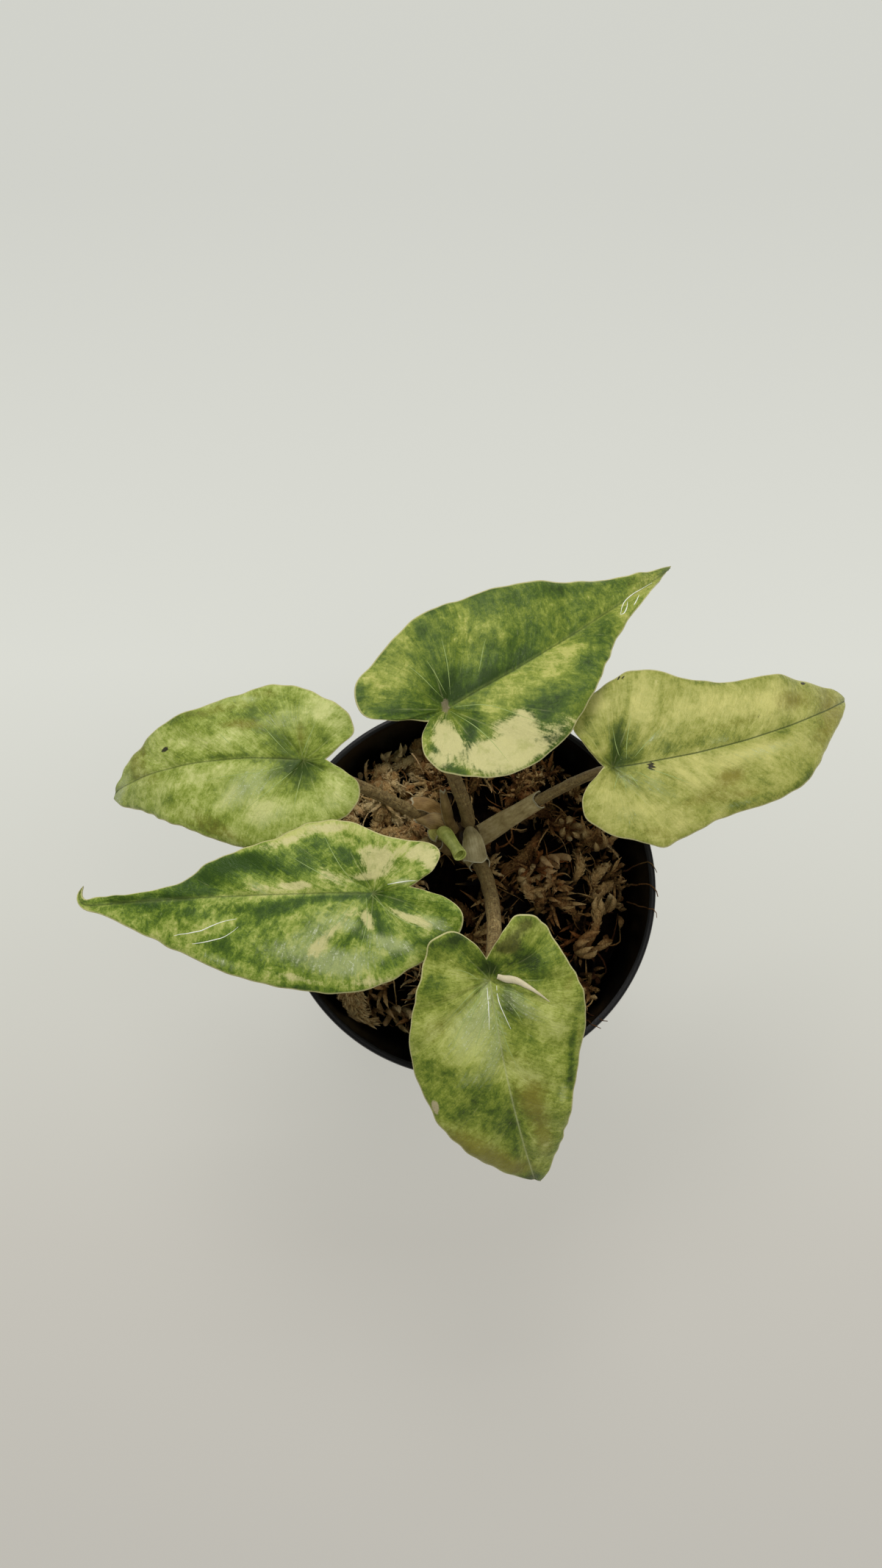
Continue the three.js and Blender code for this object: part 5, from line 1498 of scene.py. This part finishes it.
def build_stems(draw, material):
    """Thick scaly stems that lie across the filling."""
    steps, t = stations(30)
    count = 40
    x, y = scatter(draw, count, room=1.0)
    length, rise = draw.uniform(8, 16, count), draw.uniform(0.6, 2.2, count)
    paths = wander(draw, x, y, length, steps, 0.9, np.full(count, 1.6), rise)
    body = (0.6 + 0.5 * np.sin(math.pi * t)) * (1 - 0.8 * smooth(t, 0.86, 1.0))
    thick = draw.uniform(0.8, 1.35, count)[:, None] * body
    radii = thick[..., None] * scaly(draw, count, steps, 10, 9, 0.34)
    shades = draw.uniform(0.2, 0.9, count)
    moss_piece("moss_stems", paths, radii, 10, shades, material, flat=0.85)
    spiked, thin = spikes(draw, paths, thick, 50, (0.6, 1.3), (0.3, 0.5))
    moss_piece("moss_spikes_stems", spiked, thin, 3, np.repeat(shades, 50), material, flat=0.5)


def build_mat(draw, material):
    """Matted, paler moss behind and to the left of the crown, clear of the two cavities there."""
    steps, t = stations(30)
    count = 120
    x = draw.uniform(-34, -8, count)
    y = draw.uniform(8, 37, count)
    keep = (np.hypot(x, y) < 38) & (np.hypot(x + 14, y - 26.5) > 3.6) & (np.hypot(x + 24, y - 16.4) > 3.0)
    x, y = x[keep], y[keep]
    count = len(x)
    length, rise = draw.uniform(4, 9, count), draw.uniform(0.6, 3.2, count)
    paths = wander(draw, x, y, length, steps, 2.8, np.full(count, 1.4), rise)
    thick = draw.uniform(0.7, 1.5, count)[:, None] * (0.45 + 0.6 * np.sin(math.pi * t))
    radii = thick[..., None] * (1 + 0.32 * draw.normal(0, 1, (count, steps, 12)))
    radii = (radii + np.roll(radii, 1, 2) + np.roll(radii, -1, 2)) / 3
    shades = draw.uniform(0.35, 0.85, count)
    moss_piece("moss_mat", paths, radii, 12, shades, material, flat=0.9)
    spiked, thin = spikes(draw, paths, thick, 40, (0.6, 1.3), (0.26, 0.45))
    moss_piece("moss_spikes_mat", spiked, thin, 3, np.repeat(shades, 40) + 0.05, material, flat=0.5)


def build_tuft(draw, material):
    """The tuft that hangs towards the rim in front of the left leaf."""
    steps, t = stations(30)
    tuft = spline([(-28, -19, 66.5), (-28.5, -24, 67), (-27, -29.5, 65.5), (-24.5, -34.5, 63)], steps - 1)
    thick = np.interp(t, [0, 0.25, 0.6, 1.0], [2.2, 3.6, 2.0, 0.3])
    radii = thick[None, :, None] * scaly(draw, 1, steps, 16, 8, 0.3)
    moss_piece("moss_tuft", tuft[None], radii, 16, np.array([0.55]), material)
    spiked, thin = spikes(draw, tuft[None], thick[None], 260, (1.0, 2.2), (0.3, 0.5))
    moss_piece("moss_spikes_tuft", spiked, thin, 3, np.full(260, 0.6), material, flat=0.5)


def build_leaflets(draw, material):
    """Single leaflets, flat and pointed at both ends."""
    steps, t = stations(9)
    count = 90
    x, y = np.concatenate([scatter(draw, count - len(LEAFLETS), room=-1.0), np.array(LEAFLETS).T], 1)
    length, sink = draw.uniform(2.4, 4.8, count), draw.uniform(-1, 2, count)
    paths = wander(draw, x, y, length, steps, 0.5, sink, draw.uniform(0.6, 2.2, count))
    leaflet = np.sin(math.pi * np.clip(t, 0.02, 0.98)) ** 0.8
    thick = draw.uniform(0.45, 0.85, count)[:, None] * leaflet
    moss_piece("moss_leaflets", paths, thick, 8, draw.uniform(0.3, 0.9, count), material, flat=0.35)


def build_strands(draw, material):
    """Fine loose strands, a few straight pale needles and fibres that hang over the rim."""
    steps, t = stations(12)
    count = 260
    x, y = scatter(draw, count, room=-2.0)
    sink = draw.uniform(-0.5, 2.5, count)
    paths = wander(draw, x, y, draw.uniform(5, 13, count), steps, 2.0, sink, draw.uniform(0.3, 2.6, count))
    thick = draw.uniform(0.14, 0.36, count)[:, None] * (1 - 0.7 * t)
    moss_piece("moss_strands", paths, thick, 5, draw.uniform(0.2, 0.9, count), material)
    paths = np.array([spline(needle, steps - 1) for needle in NEEDLES])
    thick = np.full((len(NEEDLES), 1), 0.26) * (1 - 0.5 * t)
    moss_piece("moss_needles", paths, thick, 6, np.full(len(NEEDLES), 1.0), material)
    paths = np.array([spline(fibre, steps - 1) for fibre in RIM_FIBRES])
    paths[:, 1:-1] += draw.normal(0, 0.12, paths[:, 1:-1].shape)
    thick = draw.uniform(0.22, 0.36, (len(RIM_FIBRES), 1)) * (1 - 0.6 * t)
    shades = draw.uniform(0.2, 0.5, len(RIM_FIBRES))
    moss_piece("moss_rim_fibres", paths, thick, 6, shades, material, loose=True)


# The pot
# The CAD pot's profile with rounder edges, as radius and height: up its outside and down its inside.
POT_PROFILE = [
    (30, 0), (30.6, 0.12), (31, 0.6), (43.0, 66.5), (44.2, 66.5), (44.8, 66.7), (45, 67.2), (45, 74.2),
    (44.8, 74.8), (44.3, 75), (43.9, 75), (43.45, 74.8), (43.2, 74.2), (42.0, 66.5), (30.2, 1.2),
]
POT_SEGMENTS, POT_WOBBLE = 240, 0.0016
SHARP_EDGE = math.radians(40)


def pot_material():
    sh = Shader("pot_plastic")
    where = sh.place()
    wear = sh.noise(where, 0.2, 5.0, 0.7)
    grain = sh.noise(where, 5.0, 2.0, 0.6)
    colour = sh.mix(sh.step(wear, 0.5, 0.8), linear(3, 3, 3), linear(16, 16, 16))
    sh.bump(grain, 0.05)
    roughness = sh.math("MULTIPLY_ADD", wear, 0.3, 0.2)
    return sh.finish(colour, roughness, Specular_IOR_Level=0.2)


def build_pot(material):
    """POT_PROFILE turned round the pot's axis, very slightly oval."""
    turn = TAU * np.arange(POT_SEGMENTS) / POT_SEGMENTS
    rings = np.array(POT_PROFILE, float)
    wobble = 1 + POT_WOBBLE * np.sin(2 * turn + 0.5)
    points = np.stack(
        [
            rings[:, :1] * wobble * np.cos(turn),
            rings[:, :1] * wobble * np.sin(turn),
            np.repeat(rings[:, 1:], POT_SEGMENTS, 1),
        ],
        -1,
    ).reshape(-1, 3)
    faces = grid_faces(len(rings), POT_SEGMENTS, flip=True, wrap=True).tolist()
    faces.append(list(range(POT_SEGMENTS - 1, -1, -1)))
    faces.append(list(range(len(points) - POT_SEGMENTS, len(points))))
    piece = make_piece("pot", points, faces, material)
    piece.data.set_sharp_from_angle(angle=SHARP_EDGE)
    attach(piece, "root")
    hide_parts("nursery_pot")


# Building it all

line_looks = line_materials()
for leaf_name, leaf in LEAVES.items():
    leaf_look = blade_material(leaf_name, **BLADE_LOOKS[leaf_name])
    sheet = build_blade(leaf_name, leaf, leaf_look)
    build_lines(leaf_name, leaf, sheet, line_looks)
stalk_look = stalk_material()
for leaf_name, leaf in LEAVES.items():
    build_stalk(leaf_name, leaf, stalk_look)
sheath_looks = {look: sheath_material(look, tones) for look, tones in SHEATH_TONES.items()}
for leaf_name, sheath in SHEATHS.items():
    build_sheath(leaf_name, LEAVES[leaf_name], sheath_looks, **sheath)
for scrap_name, scrap in SCRAPS.items():
    build_scrap(scrap_name, sheath_looks, **scrap)
build_stem(sheath_looks["stem"])
build_new_leaf(new_leaf_material())
build_moss_bed(moss_bed_material())
moss_draw, moss_look = np.random.default_rng(11), moss_material()
for build in (
    build_heads, build_claws, build_stems, build_mat, build_tuft, build_leaflets, build_strands,
):
    build(moss_draw, moss_look)
build_pot(pot_material())

# Surroundings

FLOOR_GLOW, FLOOR_HALF, FLOOR_FADE = 0.7, 2000, 460
# The photo is upright, so the width of Blender's sensor spans its height.
SENSOR_WIDTH = 36
CLIP_NEAR_METRES, CLIP_FAR_METRES = 0.01, 20
LIGHT_TARGET = (0, 0, 60)
ROOM_COLOUR, ROOM_STRENGTH = (0.985, 0.99, 0.975, 1.0), 0.46


def floor_material():
    """A pale backdrop, painted brightest behind the pot as a fall of light. Part of its light is its own:
    shadows stay faint.
    """
    sh = Shader("floor")
    split = sh.tree.nodes.new("ShaderNodeSeparateXYZ")
    sh.put(split.inputs[0], sh.place())
    # Painted light: lightest just behind the pot, darker towards the front and a little darker far behind.
    colour = sh.ramp(
        sh.math("MULTIPLY_ADD", split.outputs["Y"], 1 / FLOOR_FADE, 0.5),
        [
            (0.0, linear(188, 185, 177)),
            (0.3, linear(199, 196, 187)),
            (0.5, linear(211, 211, 202)),
            (0.66, linear(219, 220, 212)),
            (1.0, linear(207, 208, 201)),
        ],
    )
    sh.put(sh.surface.inputs["Emission Color"], colour)
    sh.surface.inputs["Emission Strength"].default_value = FLOOR_GLOW
    dimmer = 1 - FLOOR_GLOW
    colour = sh.mix(1.0, colour, (dimmer, dimmer, dimmer, 1.0), "MULTIPLY")
    return sh.finish(colour, 0.7, Specular_IOR_Level=0.1)


floor = make_piece(
    "floor",
    [(x * FLOOR_HALF, y * FLOOR_HALF, 0) for x, y in ((-1, -1), (1, -1), (1, 1), (-1, 1))],
    [(0, 1, 2, 3)],
    floor_material(),
    shade_smooth=False,
)

camera_data = bpy.data.cameras.new("camera")
camera_data.lens = FOCAL_LENGTH * SENSOR_WIDTH / PHOTO_HEIGHT
camera_data.sensor_width = SENSOR_WIDTH
camera_data.clip_start = CLIP_NEAR_METRES
camera_data.clip_end = CLIP_FAR_METRES
camera = bpy.data.objects.new("camera", camera_data)
camera.location = Vector(CAMERA_PLACE) * MM
camera.rotation_euler = (CAMERA_TILT, 0, 0)
bpy.context.scene.collection.objects.link(camera)
bpy.context.scene.camera = camera


def area_light(name, place_mm, size_mm, watts, colour):
    data = bpy.data.lights.new(name, "AREA")
    data.shape = "RECTANGLE"
    data.size, data.size_y = (s * MM for s in size_mm)
    data.energy = watts
    data.color = colour
    lamp = bpy.data.objects.new(name, data)
    lamp.location = Vector(place_mm) * MM
    away = Vector(LIGHT_TARGET) * MM - lamp.location
    lamp.rotation_euler = away.to_track_quat("-Z", "Y").to_euler()
    bpy.context.scene.collection.objects.link(lamp)


area_light("window", (-100, 1500, 1900), (900, 700), 29, (1.0, 0.985, 0.985))
area_light("ceiling", (350, -100, 1400), (600, 600), 3.5, (1.0, 0.985, 0.98))
world = bpy.data.worlds.new("room")
world.use_nodes = True
world.node_tree.nodes["Background"].inputs["Color"].default_value = ROOM_COLOUR
world.node_tree.nodes["Background"].inputs["Strength"].default_value = ROOM_STRENGTH
bpy.context.scene.world = world
bpy.context.scene.view_settings.view_transform = "Standard"
